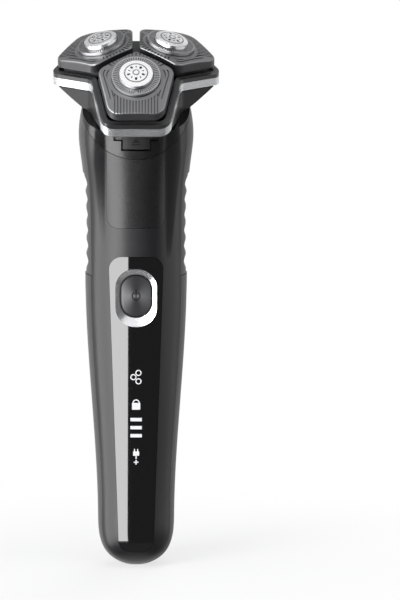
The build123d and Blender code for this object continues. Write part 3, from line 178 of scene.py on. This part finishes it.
def paint_recess_shade(tree, tint, reach):
    """The tint with painted shade, darkened where the surface closes in on itself within the
    reach.
    """
    open_share = add_node(
        tree, "ShaderNodeAmbientOcclusion", {"samples": RECESS_SAMPLES}, Distance=reach
    )
    depth = calculate(tree, "POWER", open_share.outputs["AO"], RECESS_POWER)
    return calculate_vector(tree, "SCALE", tint, Scale=depth)


def surface(
    name, color, roughness, metallic=0.0, spread=0.12, bump=0.0,
    specular=0.5, coat=0.0, roughness_spread=0.06, recess=0.0,
):
    """A moulded or machined surface: colour and gloss vary a little, with a fine grain.

    Slots and grooves narrower than the recess length get painted shade in their colour.
    """
    material, tree, shader = new_material(name)
    place = place_on_object(tree)
    low = tuple(channel * (1 - spread) for channel in color)
    high = tuple(min(channel * (1 + spread), 1) for channel in color)
    tint = ramp_between(tree, noise(tree, place, CLOUD_SCALE, CLOUD_DETAIL), low, high)
    # Painted shade in the slots and grooves
    if recess:
        tint = paint_recess_shade(tree, tint, recess)
    tree.links.new(tint, shader.inputs["Base Color"])
    grain = noise(tree, place, GRAIN_SCALE, GRAIN_DETAIL)
    glossiest = max(roughness - roughness_spread, LEAST_ROUGHNESS)
    gloss = remap(tree, grain, target=(glossiest, roughness + roughness_spread))
    tree.links.new(gloss, shader.inputs["Roughness"])
    if bump:
        relief = add_node(
            tree, "ShaderNodeBump", Strength=bump, Distance=GRAIN_DEPTH, Height=grain
        )
        tree.links.new(relief.outputs["Normal"], shader.inputs["Normal"])
    shader.inputs["Metallic"].default_value = metallic
    shader.inputs["Specular IOR Level"].default_value = specular
    shader.inputs["Coat Weight"].default_value = coat
    shader.inputs["Coat Roughness"].default_value = COAT_ROUGHNESS
    return material


def spun_metal(name, color, centre, metallic):
    """Dark metal spun about a centre on the front: painted highlights run round it in fans.
    """
    material, tree, shader = new_material(name)
    from_centre = calculate_vector(tree, "SUBTRACT", place_on_object(tree), centre)
    parts = components(tree, from_centre)
    turn = calculate(tree, "ARCTAN2", parts["X"], parts["Z"])
    fan = calculate(tree, "COSINE", calculate(tree, "MULTIPLY", turn, HIGHLIGHT_FAN_COUNT))
    # Painted highlights: the colour runs from darker to brighter fans round the centre
    low, high = (tuple(channel * share for channel in color) for share in HIGHLIGHT_FAN_SHARES)
    tint = ramp_between(tree, remap(tree, fan, source=(1, -1)), low, high)
    tree.links.new(tint, shader.inputs["Base Color"])
    reach = calculate_vector(tree, "LENGTH", from_centre, result="Value")
    rings = add_node(
        tree, "ShaderNodeCombineXYZ", X=calculate(tree, "MULTIPLY", reach, BRUSH_SCALE)
    )
    brush = noise(tree, rings.outputs["Vector"], 1.0, BRUSH_DETAIL)
    tree.links.new(remap(tree, brush, target=BRUSH_ROUGHNESS), shader.inputs["Roughness"])
    shader.inputs["Metallic"].default_value = metallic
    return material


def lean_normal(material, normal, way, amount):
    """Shades the material with its normal leaned along a way, by an amount per axis."""
    tree, shader = nodes_of(material)
    leaned = calculate_vector(tree, "MULTIPLY_ADD", way, amount, normal)
    tree.links.new(calculate_vector(tree, "NORMALIZE", leaned), shader.inputs["Normal"])
    return material


def dished_metal(name, color, roughness, centre, half_straight, tilt):
    """Bright metal about a button, shaded as if it slopes down to the button all round."""
    material = surface(name, color, roughness, metallic=1.0, spread=0.03)
    tree = material.node_tree
    parts = components(tree, place_on_object(tree))
    nearest = add_node(
        tree, "ShaderNodeClamp", Value=parts["Z"],
        Min=centre[2] - half_straight, Max=centre[2] + half_straight,
    )
    inward = add_node(
        tree, "ShaderNodeCombineXYZ", X=calculate(tree, "MULTIPLY", parts["X"], -1.0),
        Z=calculate(tree, "SUBTRACT", nearest.outputs["Result"], parts["Z"]),
    )
    way = calculate_vector(tree, "NORMALIZE", inward.outputs["Vector"])
    normal = add_node(tree, "ShaderNodeNewGeometry").outputs["Normal"]
    return lean_normal(material, normal, way, (tilt, tilt, tilt))


def hollow_flanks(material):
    """Shades a shallow hollow down each flank of the neck, wide above and fading below."""
    tree, shader = nodes_of(material)
    parts = components(tree, place_on_object(tree))
    centre, half_width, fade = (
        remap(tree, parts["Z"], FLANK_HEIGHTS, pair)
        for pair in (FLANK_CENTRES, FLANK_HALF_WIDTHS, (0, 1))
    )
    side = calculate(tree, "ABSOLUTE", parts["X"])
    away = calculate(tree, "ABSOLUTE", calculate(tree, "SUBTRACT", side, centre))
    share = remap(
        tree, calculate(tree, "DIVIDE", away, half_width), FLANK_EDGE, (1, 0), smooth=True
    )
    depth = calculate(tree, "MULTIPLY", share, calculate(tree, "SQRT", fade))
    bump = shader.inputs["Normal"].links[0].from_socket
    return lean_normal(material, bump, depth, (0, 0, -FLANK_LEAN))


def smooth_lens(material):
    """Shades the lens's front as one even bow, so that its mesh doesn't break reflections."""
    tree, shader = nodes_of(material)
    parts = components(tree, place_on_object(tree))
    bow = remap(tree, parts["Z"], LENS_HEIGHTS, LENS_BOWS)
    bowed = add_node(
        tree, "ShaderNodeCombineXYZ", X=calculate(tree, "MULTIPLY", parts["X"], bow), Y=-1.0,
        Z=remap(tree, parts["Z"], LENS_TOE_HEIGHTS, LENS_FALLS, smooth=True),
    )
    turned = add_node(
        tree, "ShaderNodeVectorTransform",
        {"vector_type": "NORMAL", "convert_from": "OBJECT", "convert_to": "WORLD"},
        Vector=calculate_vector(tree, "NORMALIZE", bowed.outputs["Vector"]),
    )
    own = components(tree, add_node(tree, "ShaderNodeTexCoord").outputs["Normal"])
    facing = add_node(
        tree, "ShaderNodeMix", {"data_type": "VECTOR"},
        Factor=remap(tree, own["Y"], LENS_FRONT),
        A=add_node(tree, "ShaderNodeNewGeometry").outputs["Normal"],
        B=turned.outputs["Vector"],
    )
    tree.links.new(facing.outputs["Result"], shader.inputs["Normal"])
    return material


def highest_dot(tree, vector, from_caps=False):
    """The largest of a vector's lengths along the pods' axes, from each cap if asked."""
    highest = None
    for cap, _, _, up in map(pod_directions, PODS):
        length = calculate_vector(tree, "DOT_PRODUCT", vector, up, result="Value")
        if from_caps:
            length = calculate(tree, "SUBTRACT", length, cap.dot(up))
        highest = calculate(tree, "MAXIMUM", highest, length) if highest else length
    return highest


def second_finish(material, share, color, metallic):
    """Gives the material another colour and metallic value where the share is 1."""
    tree, shader = nodes_of(material)
    tint = add_node(
        tree, "ShaderNodeMix", {"data_type": "RGBA"}, Factor=share,
        A=shader.inputs["Base Color"].links[0].from_socket, B=(*color, 1),
    )
    tree.links.new(tint.outputs["Result"], shader.inputs["Base Color"])
    metallic_range = (shader.inputs["Metallic"].default_value, metallic)
    tree.links.new(remap(tree, share, target=metallic_range), shader.inputs["Metallic"])
    return material


def banded_trim(name, silver, dark, roughness):
    """Silver band whose upper lip is dark, split at a depth below its top edge."""
    material = surface(name, silver, roughness, metallic=1.0, spread=0.05)
    tree = material.node_tree
    vertices = frame["nodes"]["head_trim"].data.vertices
    split = max(height_on_head(vertex.co) for vertex in vertices) - TRIM_LIP
    height = highest_dot(tree, place_on_object(tree), from_caps=True)
    share = remap(tree, height, (split - TRIM_BLEND, split))
    return second_finish(material, share, dark, metallic=0.0)


def metal_with_shaded_sides(name, color, side_shade_color, roughness):
    """Fine metallic finish on a pod's top; its sides are less metallic and darker, the darker
    colour painted shade.
    """
    material = surface(name, color, roughness, metallic=0.7, bump=0.05, recess=RECESS / 2)
    tree = material.node_tree
    normal = add_node(tree, "ShaderNodeTexCoord").outputs["Normal"]
    # Painted shade: a pod's sides take a darker colour than its top
    side = remap(tree, highest_dot(tree, normal), SKIRT_EDGE, (1, 0))
    return second_finish(material, side, side_shade_color, metallic=0.5)


MATERIALS = {
    "shell": hollow_flanks(
        surface("shell_satin", (0.007, 0.0065, 0.0075), 0.33, bump=0.03, specular=0.25)
    ),
    "rear": surface("shell_matt", (0.01, 0.0095, 0.0105), 0.42, bump=0.12),
    "collar": hollow_flanks(
        surface("collar_satin", (0.005, 0.005, 0.0055), 0.24, bump=0.03, specular=0.3)
    ),
    "plate": surface(
        "plate_satin", (0.006, 0.006, 0.0065), 0.28, specular=0.27, roughness_spread=0.02
    ),
    "lens": smooth_lens(surface(
        "lens_gloss", (0.004, 0.004, 0.0045), 0.05, specular=0.6, roughness_spread=0.005
    )),
    "chrome": dished_metal(
        "ring_chrome", (0.82, 0.82, 0.84), 0.16, BUTTON_CENTRE,
        half_straight=1.7 * MM, tilt=0.45,
    ),
    "button": spun_metal("button_spun", (0.04, 0.04, 0.042), BUTTON_CENTRE, metallic=0.9),
    "grip": surface("grip_rubber", (0.009, 0.0085, 0.0095), 0.45, bump=0.25),
    "trim": banded_trim(
        "trim_silver", silver=(0.66, 0.67, 0.69), dark=(0.02, 0.02, 0.021), roughness=0.24
    ),
    "pod": metal_with_shaded_sides(
        "pod_metallic", color=(0.17, 0.17, 0.175), side_shade_color=(0.035, 0.035, 0.037), roughness=0.36
    ),
    "guard": surface(
        "guard_foil", (0.36, 0.36, 0.37), 0.3, metallic=1.0, spread=0.08, recess=RECESS
    ),
    "steel": surface("shaving_steel", (0.7, 0.71, 0.73), 0.25, metallic=1.0, spread=0.06),
    # Black mouldings; also the painted-shade walls under the pods
    "dark": surface("black_moulding_and_shade_wall", (0.015, 0.015, 0.016), 0.5, bump=0.1),
    "gear": surface("acetal", (0.72, 0.7, 0.66), 0.45, spread=0.04),
    "base": surface("base_charcoal", (0.008, 0.008, 0.0085), 0.34, bump=0.05, specular=0.25),
    "motor_can": surface("plated_steel", (0.55, 0.55, 0.57), 0.3, metallic=1.0, spread=0.06),
    "cell": surface("cell_sleeve", (0.03, 0.16, 0.1), 0.3, spread=0.08, coat=0.3),
    "board": surface("solder_resist", (0.02, 0.12, 0.05), 0.4, spread=0.15),
    "brass": surface("contact_brass", (0.72, 0.58, 0.32), 0.25, metallic=1.0, spread=0.08),
    "led": surface("led_clear", (0.8, 0.8, 0.8), 0.3, spread=0.02),
    "cap": surface(
        "cap_disc", (0.88, 0.88, 0.89), 0.24, metallic=0.85, spread=0.03, recess=RECESS
    ),
}
ICON_WHITE = surface("icon_white", (0.82, 0.82, 0.83), 0.5, spread=0.02)
# Dark print; also the painted shade in the gap round the power button
DARK_PRINT_AND_SHADE = surface("dark_print_and_shade", (0.003, 0.003, 0.003), 0.6, specular=0.1)
DISC_GREY = surface("disc_grey", (0.16, 0.16, 0.165), 0.4)
# A painted highlight along the release button's top edge
EDGE_HIGHLIGHT = surface("painted_edge_highlight", (0.22, 0.22, 0.23), 0.4)


def dress_nodes():
    """Each CAD node takes the material of the record's slot for it."""
    for subpart in frame["record"]["subparts"]:
        mesh = frame["nodes"][subpart["node"]].data
        mesh.materials.clear()
        mesh.materials.append(MATERIALS[subpart["material_slot"]])


# Pieces ----------------------------------------------------------------------------------
def add_mesh(name, vertices, faces, material):
    """An object in the scene, made of points and faces."""
    mesh = bpy.data.meshes.new(name)
    mesh.from_pydata(vertices, [], faces)
    mesh.materials.append(material)
    piece = bpy.data.objects.new(name, mesh)
    bpy.context.scene.collection.objects.link(piece)
    return piece


def node_surface(node):
    """A tree of a CAD node's triangles, for rays."""
    mesh = frame["nodes"][node].data
    mesh.calc_loop_triangles()
    vertices = [vertex.co.copy() for vertex in mesh.vertices]
    triangles = [tuple(triangle.vertices) for triangle in mesh.loop_triangles]
    return BVHTree.FromPolygons(vertices, triangles)


# A strip is a list of points along one edge of a band, then as many along the other edge
ARC_STEPS = 24
BAR_STEPS = 8
CORNER_STEPS = 10


def strip_faces(strip, first=0):
    """A strip's quads, where its points start at the index first in a list of points."""
    count = len(strip) // 2
    return [(i, i + 1, i + 1 + count, i + count) for i in range(first, first + count - 1)]


def arc_strip(centre, radius, width, start=0, stop=360, steps=ARC_STEPS):
    """A band along an arc. Angles in degrees."""
    angles = [radians(start + (stop - start) * step / steps) for step in range(steps + 1)]
    return [
        (centre[0] + (radius + side * width / 2) * cos(angle),
         centre[1] + (radius + side * width / 2) * sin(angle))
        for side in (-1, 1)
        for angle in angles
    ]


def bar_strip(centre, width, height):
    """A plain bar, in steps that follow the face across its width."""
    x, z = centre
    return [
        (x + width * (step / BAR_STEPS - 0.5), z + side * height / 2)
        for side in (-1, 1)
        for step in range(BAR_STEPS + 1)
    ]


def stadium_strip(centre, half_width, half_length, corner, width):
    """A closed band outside a rectangle with round corners."""
    strip = []
    for grow in (0, width):
        loop = []
        for quarter in range(4):
            side_x = 1 if quarter in (0, 3) else -1
            side_z = 1 if quarter < 2 else -1
            for step in range(CORNER_STEPS + 1):
                turn = radians(90 * (quarter + step / CORNER_STEPS))
                loop.append((
                    centre[0] + side_x * (half_width - corner) + (corner + grow) * cos(turn),
                    centre[1] + side_z * (half_length - corner) + (corner + grow) * sin(turn),
                ))
        strip += loop + loop[:1]
    return strip


def triangle_strip(centre, width, height):
    """An upright triangle, whose upper edge rises to the middle and falls again."""
    x, z = centre
    shares = [step / BAR_STEPS for step in range(BAR_STEPS + 1)]
    low = [(x + width * (share - 0.5), z - height / 2) for share in shares]
    high = [
        (x + width * (share - 0.5), z - height / 2 + height * (1 - abs(2 * share - 1)))
        for share in shares
    ]
    return low + high


# Printed symbols -------------------------------------------------------------------------
PRINT_RISE = 0.03 * MM

LOOPS_HEIGHT = 62.3 * MM
PADLOCK_HEIGHT = 53.6 * MM
BAR_HEIGHTS = (48.6 * MM, 46.0 * MM, 43.4 * MM)
PLUG_HEIGHT = 37.6 * MM
PRONG_HEIGHT = PLUG_HEIGHT + 1.1 * MM
PLUS_HEIGHT = 34.8 * MM

BUTTON_WIDTH = 10.2 * MM
BUTTON_LENGTH = 13.6 * MM
BUTTON_CORNER = 4.8 * MM
# Painted shade in the gap round the button: a band between these two insets from its outline
RIM_WIDTH = 0.5 * MM
RIM_EDGE = 0.06 * MM

# The radius and the width of the lines on each white disc
DISC_LINES = ((3.6 * MM, 0.34 * MM), (1.0 * MM, 0.36 * MM))
DISC_STEPS = 48


def printed(name, strips, node, body, material):
    """Flat shapes laid on a node's front face. Each is a strip of points (x, z)."""
    skin = node_surface(node)
    vertices, faces = [], []
    for strip in strips:
        faces += strip_faces(strip, first=len(vertices))
        for x, z in strip:
            hit = skin.ray_cast(Vector((x, -RAY_START, z)), Vector((0, 1, 0)))[0]
            vertices.append((x, hit.y - PRINT_RISE, z))
    piece = add_mesh(name, vertices, faces, material)
    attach(piece, body)


def add_display_icons():
    """Three loops, a padlock, charge bars and a plug on the display."""
    icons = {
        "icon_loops": [
            arc_strip((x, LOOPS_HEIGHT + z), radius=0.82 * MM, width=0.34 * MM)
            for x, z in ((0.75 * MM, 1.35 * MM), (-0.85 * MM, 0.0), (0.75 * MM, -1.35 * MM))
        ],
        "icon_padlock": [
            bar_strip((0, PADLOCK_HEIGHT - 0.7 * MM), width=2.6 * MM, height=2.2 * MM),
            arc_strip(
                (0, PADLOCK_HEIGHT + 0.4 * MM), radius=0.95 * MM, width=0.36 * MM, stop=180
            ),
        ],
        "icon_bars": [
            bar_strip((0, height), width=3.6 * MM, height=1.1 * MM) for height in BAR_HEIGHTS
        ],
        "icon_plug": [
            bar_strip((0, PLUG_HEIGHT), width=1.9 * MM, height=1.4 * MM),
            bar_strip((0, PLUG_HEIGHT - 1.2 * MM), width=0.4 * MM, height=1.0 * MM),
            bar_strip((-0.5 * MM, PRONG_HEIGHT), width=0.34 * MM, height=0.8 * MM),
            bar_strip((0.5 * MM, PRONG_HEIGHT), width=0.34 * MM, height=0.8 * MM),
        ],
        "icon_plus": [
            bar_strip((0, PLUS_HEIGHT), width=1.5 * MM, height=0.36 * MM),
            bar_strip((0, PLUS_HEIGHT), width=0.36 * MM, height=1.5 * MM),
        ],
    }
    for name, strips in icons.items():
        printed(name, strips, "display_lens", "handle", ICON_WHITE)


def add_button_symbols():
    """The printed power symbol, painted shade in the gap round the button, a mark and a
    painted highlight on the release's top edge.
    """
    x, _, height = BUTTON_CENTRE
    power = [
        arc_strip((x, height), radius=1.25 * MM, width=0.4 * MM, start=120, stop=420),
        bar_strip((x, height + 1.25 * MM), width=0.4 * MM, height=1.5 * MM),
    ]
    printed("power_symbol", power, "power_button", "power_button", DARK_PRINT_AND_SHADE)
    # Painted shade in the gap between the button and its chrome ring
    rim = stadium_strip(
        (x, height), BUTTON_WIDTH / 2 - RIM_WIDTH, BUTTON_LENGTH / 2 - RIM_WIDTH,
        BUTTON_CORNER - RIM_WIDTH, RIM_WIDTH - RIM_EDGE,
    )
    printed("button_rim_shade", [rim], "power_button", "power_button", DARK_PRINT_AND_SHADE)
    low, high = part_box("release_button")
    middle = (low[2] + high[2]) / 2
    mark = [
        triangle_strip((0, middle + 0.35 * MM), width=2.9 * MM, height=1.3 * MM),
        bar_strip((0, middle - 0.85 * MM), width=2.9 * MM, height=0.4 * MM),
    ]
    printed("release_symbol", mark, "release_button", "release_button", DARK_PRINT_AND_SHADE)
    # A painted highlight along the release button's top edge
    edge = bar_strip(
        (0, high[2] - 0.25 * MM), width=high[0] - low[0] - 0.6 * MM, height=0.3 * MM
    )
    printed("release_edge_highlight", [edge], "release_button", "release_button", EDGE_HIGHLIGHT)


def add_disc_lines():
    """A fine ring and a small eye on each white disc, laid on its crown."""
    for pod in PODS:
        cap, across, out, up = pod_directions(pod)
        skin = node_surface("cap_disc_" + pod)
        vertices, faces = [], []
        for radius, width in DISC_LINES:
            strip = arc_strip((0, 0), radius, width, steps=DISC_STEPS)
            faces += strip_faces(strip, first=len(vertices))
            for u, v in strip:
                start = cap + across * u + out * v + up * RAY_START
                vertices.append(skin.ray_cast(start, -up)[0] + up * PRINT_RISE)
        piece = add_mesh("disc_lines_" + pod, vertices, faces, DISC_GREY)
        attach(piece, "pod_" + pod)


# Shade walls under the pods --------------------------------------------------------------
SHADE_WALL_INSET = 1.4 * MM
SHADE_WALL_THICKNESS = 0.5 * MM
SHADE_WALL_TOP = -3.6 * MM
SHADE_WALL_BOTTOM = -6.2 * MM
SHADE_WALL_HALF_TURN = 115
SHADE_WALL_STEPS = 60
# The height from the cap and the depth inside the pod's rim of each of the wall's edges
SHADE_WALL_EDGES = (
    (SHADE_WALL_TOP, SHADE_WALL_INSET), (SHADE_WALL_BOTTOM, SHADE_WALL_INSET),
    (SHADE_WALL_BOTTOM, SHADE_WALL_INSET + SHADE_WALL_THICKNESS), (SHADE_WALL_TOP, SHADE_WALL_INSET + SHADE_WALL_THICKNESS),
)


def add_pod_shade_walls():
    """Painted shade: a dark wall on the holder just inside each pod's rim, round its outer
    end, which only stops light.
    """
    for pod in PODS:
        cap, across, out, up = pod_directions(pod)
        skin = node_surface("pod_" + pod)
        rim = []
        for step in range(SHADE_WALL_STEPS + 1):
            turn = radians(SHADE_WALL_HALF_TURN * (2 * step / SHADE_WALL_STEPS - 1))
            way = out * cos(turn) + across * sin(turn)
            start = cap + up * SHADE_WALL_TOP + way * RAY_START
            rim.append(((skin.ray_cast(start, -way)[0] - cap).dot(way), way))
        vertices = [
            cap + way * (reach - inset) + up * height
            for height, inset in SHADE_WALL_EDGES
            for reach, way in rim
        ]
        rows, count = len(SHADE_WALL_EDGES), len(rim)
        faces = [
            (row * count + i, row * count + i + 1,
             (row + 1) % rows * count + i + 1, (row + 1) % rows * count + i)
            for row in range(rows)
            for i in range(count - 1)
        ]
        faces += [tuple(row * count + end for row in range(rows)) for end in (0, count - 1)]
        # Painted shade: a dark sheet that only stops light
        piece = add_mesh("pod_shade_wall_" + pod, vertices, faces, MATERIALS["dark"])
        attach(piece, "holder")


# Stage, light and camera -----------------------------------------------------------------
SHAVER_MIDDLE = Vector((0, 0, 85.0 * MM))
CAMERA_DISTANCE = 1.6
CAMERA_ELEVATION = 7.5
CAMERA_SHIFT = 0.1065
FRAME_HEIGHT = 0.1902
SENSOR = 36.0

FLOOR_RADIUS = 0.6
FLOOR_SIDES = 96
FLOOR_GREY = (0.9, 0.9, 0.9, 1)
WHITE = (1, 1, 1, 1)
# How far from the middle the floor fades, and how much it glows there
FADE_REACH = (0.03, 0.16)
FADE_GLOW = (0.7, 1.0)
SOFT_GREY = (0.95, 0.97, 1, 1)
SOFT_STRENGTH = 0.3

# Cards seen only in reflections. Azimuth 0 is the camera's side, + is right, in degrees:
# name, azimuth from and to, elevation from and to, distance, brightness
CARD_STEPS = 12
CARDS = (
    ("softbox_left", -44, -11, -35, 30, 1.3, 12.0),
    ("softbox_side", -100, -44, -40, 40, 1.35, 8.0),
    ("flag_right", -11, 38, -40, 26, 1.4, 0.15),
    ("side_right", 38, 108, -20, 45, 1.45, 2.2),
    ("rim_right", 108, 175, -20, 45, 1.45, 0.8),
    ("side_right_low", 38, 175, -42, -20, 1.45, 0.55),
    ("flag_low", -125, 125, -75, -38, 1.5, 0.25),
    ("flag_rear", 130, 230, 22, 62, 1.5, 0.5),
)
# Lamps: name, azimuth, elevation, distance, width, height, power in watts
SOFTBOXES = (
    ("key_left", -40, 20, 1.1, 0.5, 0.9, 8.0),
    ("fill_right", 62, 12, 1.3, 0.4, 1.3, 2.5),
    ("top", 10, 75, 1.0, 0.6, 0.5, 3.5),
    ("rear", 160, 30, 1.2, 0.7, 0.9, 5.0),
)


def add_stage():
    """A pale round floor that fades into the white background."""
    bpy.ops.mesh.primitive_circle_add(
        vertices=FLOOR_SIDES, radius=FLOOR_RADIUS, fill_type="NGON"
    )
    floor = bpy.context.object
    floor.name = "floor"
    material, tree, shader = new_material("floor_pale")
    shader.inputs["Base Color"].default_value = FLOOR_GREY
    shader.inputs["Roughness"].default_value = 0.9
    shader.inputs["Specular IOR Level"].default_value = 0.1
    glow = add_node(tree, "ShaderNodeEmission", Color=WHITE, Strength=1.0)
    reach = calculate_vector(tree, "LENGTH", place_on_object(tree), result="Value")
    fade = remap(tree, reach, FADE_REACH, FADE_GLOW, smooth=True)
    mix = add_node(
        tree, "ShaderNodeMixShader", None, fade, shader.outputs["BSDF"],
        glow.outputs["Emission"],
    )
    tree.links.new(mix.outputs["Shader"], tree.nodes["Material Output"].inputs["Surface"])
    floor.data.materials.append(material)
    floor.visible_glossy = False


def add_world():
    """White behind the object and in its reflections, soft grey light elsewhere."""
    world = bpy.data.worlds.new("studio")
    bpy.context.scene.world = world
    world.use_nodes = True
    tree = world.node_tree
    backdrop = tree.nodes["Background"]
    backdrop.inputs["Color"].default_value = WHITE
    backdrop.inputs["Strength"].default_value = 1.0
    ambient = add_node(
        tree, "ShaderNodeBackground", Color=SOFT_GREY, Strength=SOFT_STRENGTH
    )
    rays = add_node(tree, "ShaderNodeLightPath").outputs
    seen = calculate(tree, "MAXIMUM", rays["Is Camera Ray"], rays["Is Glossy Ray"])
    seen = calculate(tree, "MAXIMUM", seen, rays["Is Transmission Ray"])
    mix = add_node(
        tree, "ShaderNodeMixShader", None, seen, ambient.outputs["Background"],
        backdrop.outputs["Background"],
    )
    tree.links.new(mix.outputs["Shader"], tree.nodes["World Output"].inputs["Surface"])


def add_card(name, start, stop, low, high, reach, brightness):
    """A curved card seen only in reflections: a bright softbox front or a black flag."""
    vertices = []
    for rise in (low, high):
        for step in range(CARD_STEPS + 1):
            turn = radians(start + (stop - start) * step / CARD_STEPS)
            height = reach * sin(radians(rise)) / cos(radians(rise))
            vertices.append((reach * sin(turn), -reach * cos(turn), SHAVER_MIDDLE.z + height))
    material, tree, _ = new_material(name)
    glow = add_node(tree, "ShaderNodeEmission", Color=WHITE, Strength=brightness)
    tree.links.new(glow.outputs["Emission"], tree.nodes["Material Output"].inputs["Surface"])
    material.cycles.emission_sampling = "NONE"
    card = add_mesh(name, vertices, strip_faces(vertices), material)
    card.visible_camera = card.visible_diffuse = card.visible_shadow = False
    card.visible_transmission = card.visible_volume_scatter = False


def look_at_shaver(holder, azimuth, elevation, distance):
    """Puts a lamp or camera at a distance from the shaver's middle, facing it."""
    turn, rise = radians(azimuth), radians(elevation)
    way = Vector((sin(turn) * cos(rise), -cos(turn) * cos(rise), sin(rise)))
    holder.location = SHAVER_MIDDLE + way * distance
    holder.rotation_euler = way.to_track_quat("Z", "Y").to_euler()
    bpy.context.scene.collection.objects.link(holder)


def add_softbox(name, azimuth, elevation, distance, width, height, power):
    """A rectangular lamp that isn't seen itself."""
    lamp = bpy.data.lights.new(name, "AREA")
    lamp.shape = "RECTANGLE"
    lamp.size, lamp.size_y, lamp.energy = width, height, power
    holder = bpy.data.objects.new(name, lamp)
    look_at_shaver(holder, azimuth, elevation, distance)
    holder.visible_camera = holder.visible_glossy = False


def add_camera():
    """The photo's view, shifted as the photo frames the shaver."""
    camera = bpy.data.cameras.new("camera")
    camera.sensor_width = camera.sensor_height = SENSOR
    camera.lens = SENSOR * CAMERA_DISTANCE / FRAME_HEIGHT
    camera.shift_x = CAMERA_SHIFT
    holder = bpy.data.objects.new("camera", camera)
    look_at_shaver(holder, 0, CAMERA_ELEVATION, CAMERA_DISTANCE)
    bpy.context.scene.camera = holder


dress_nodes()
add_display_icons()
add_button_symbols()
add_disc_lines()
add_pod_shade_walls()
add_stage()
add_world()
for card in CARDS:
    add_card(*card)
for softbox in SOFTBOXES:
    add_softbox(*softbox)
add_camera()

bpy.context.scene.view_settings.view_transform = "Standard"
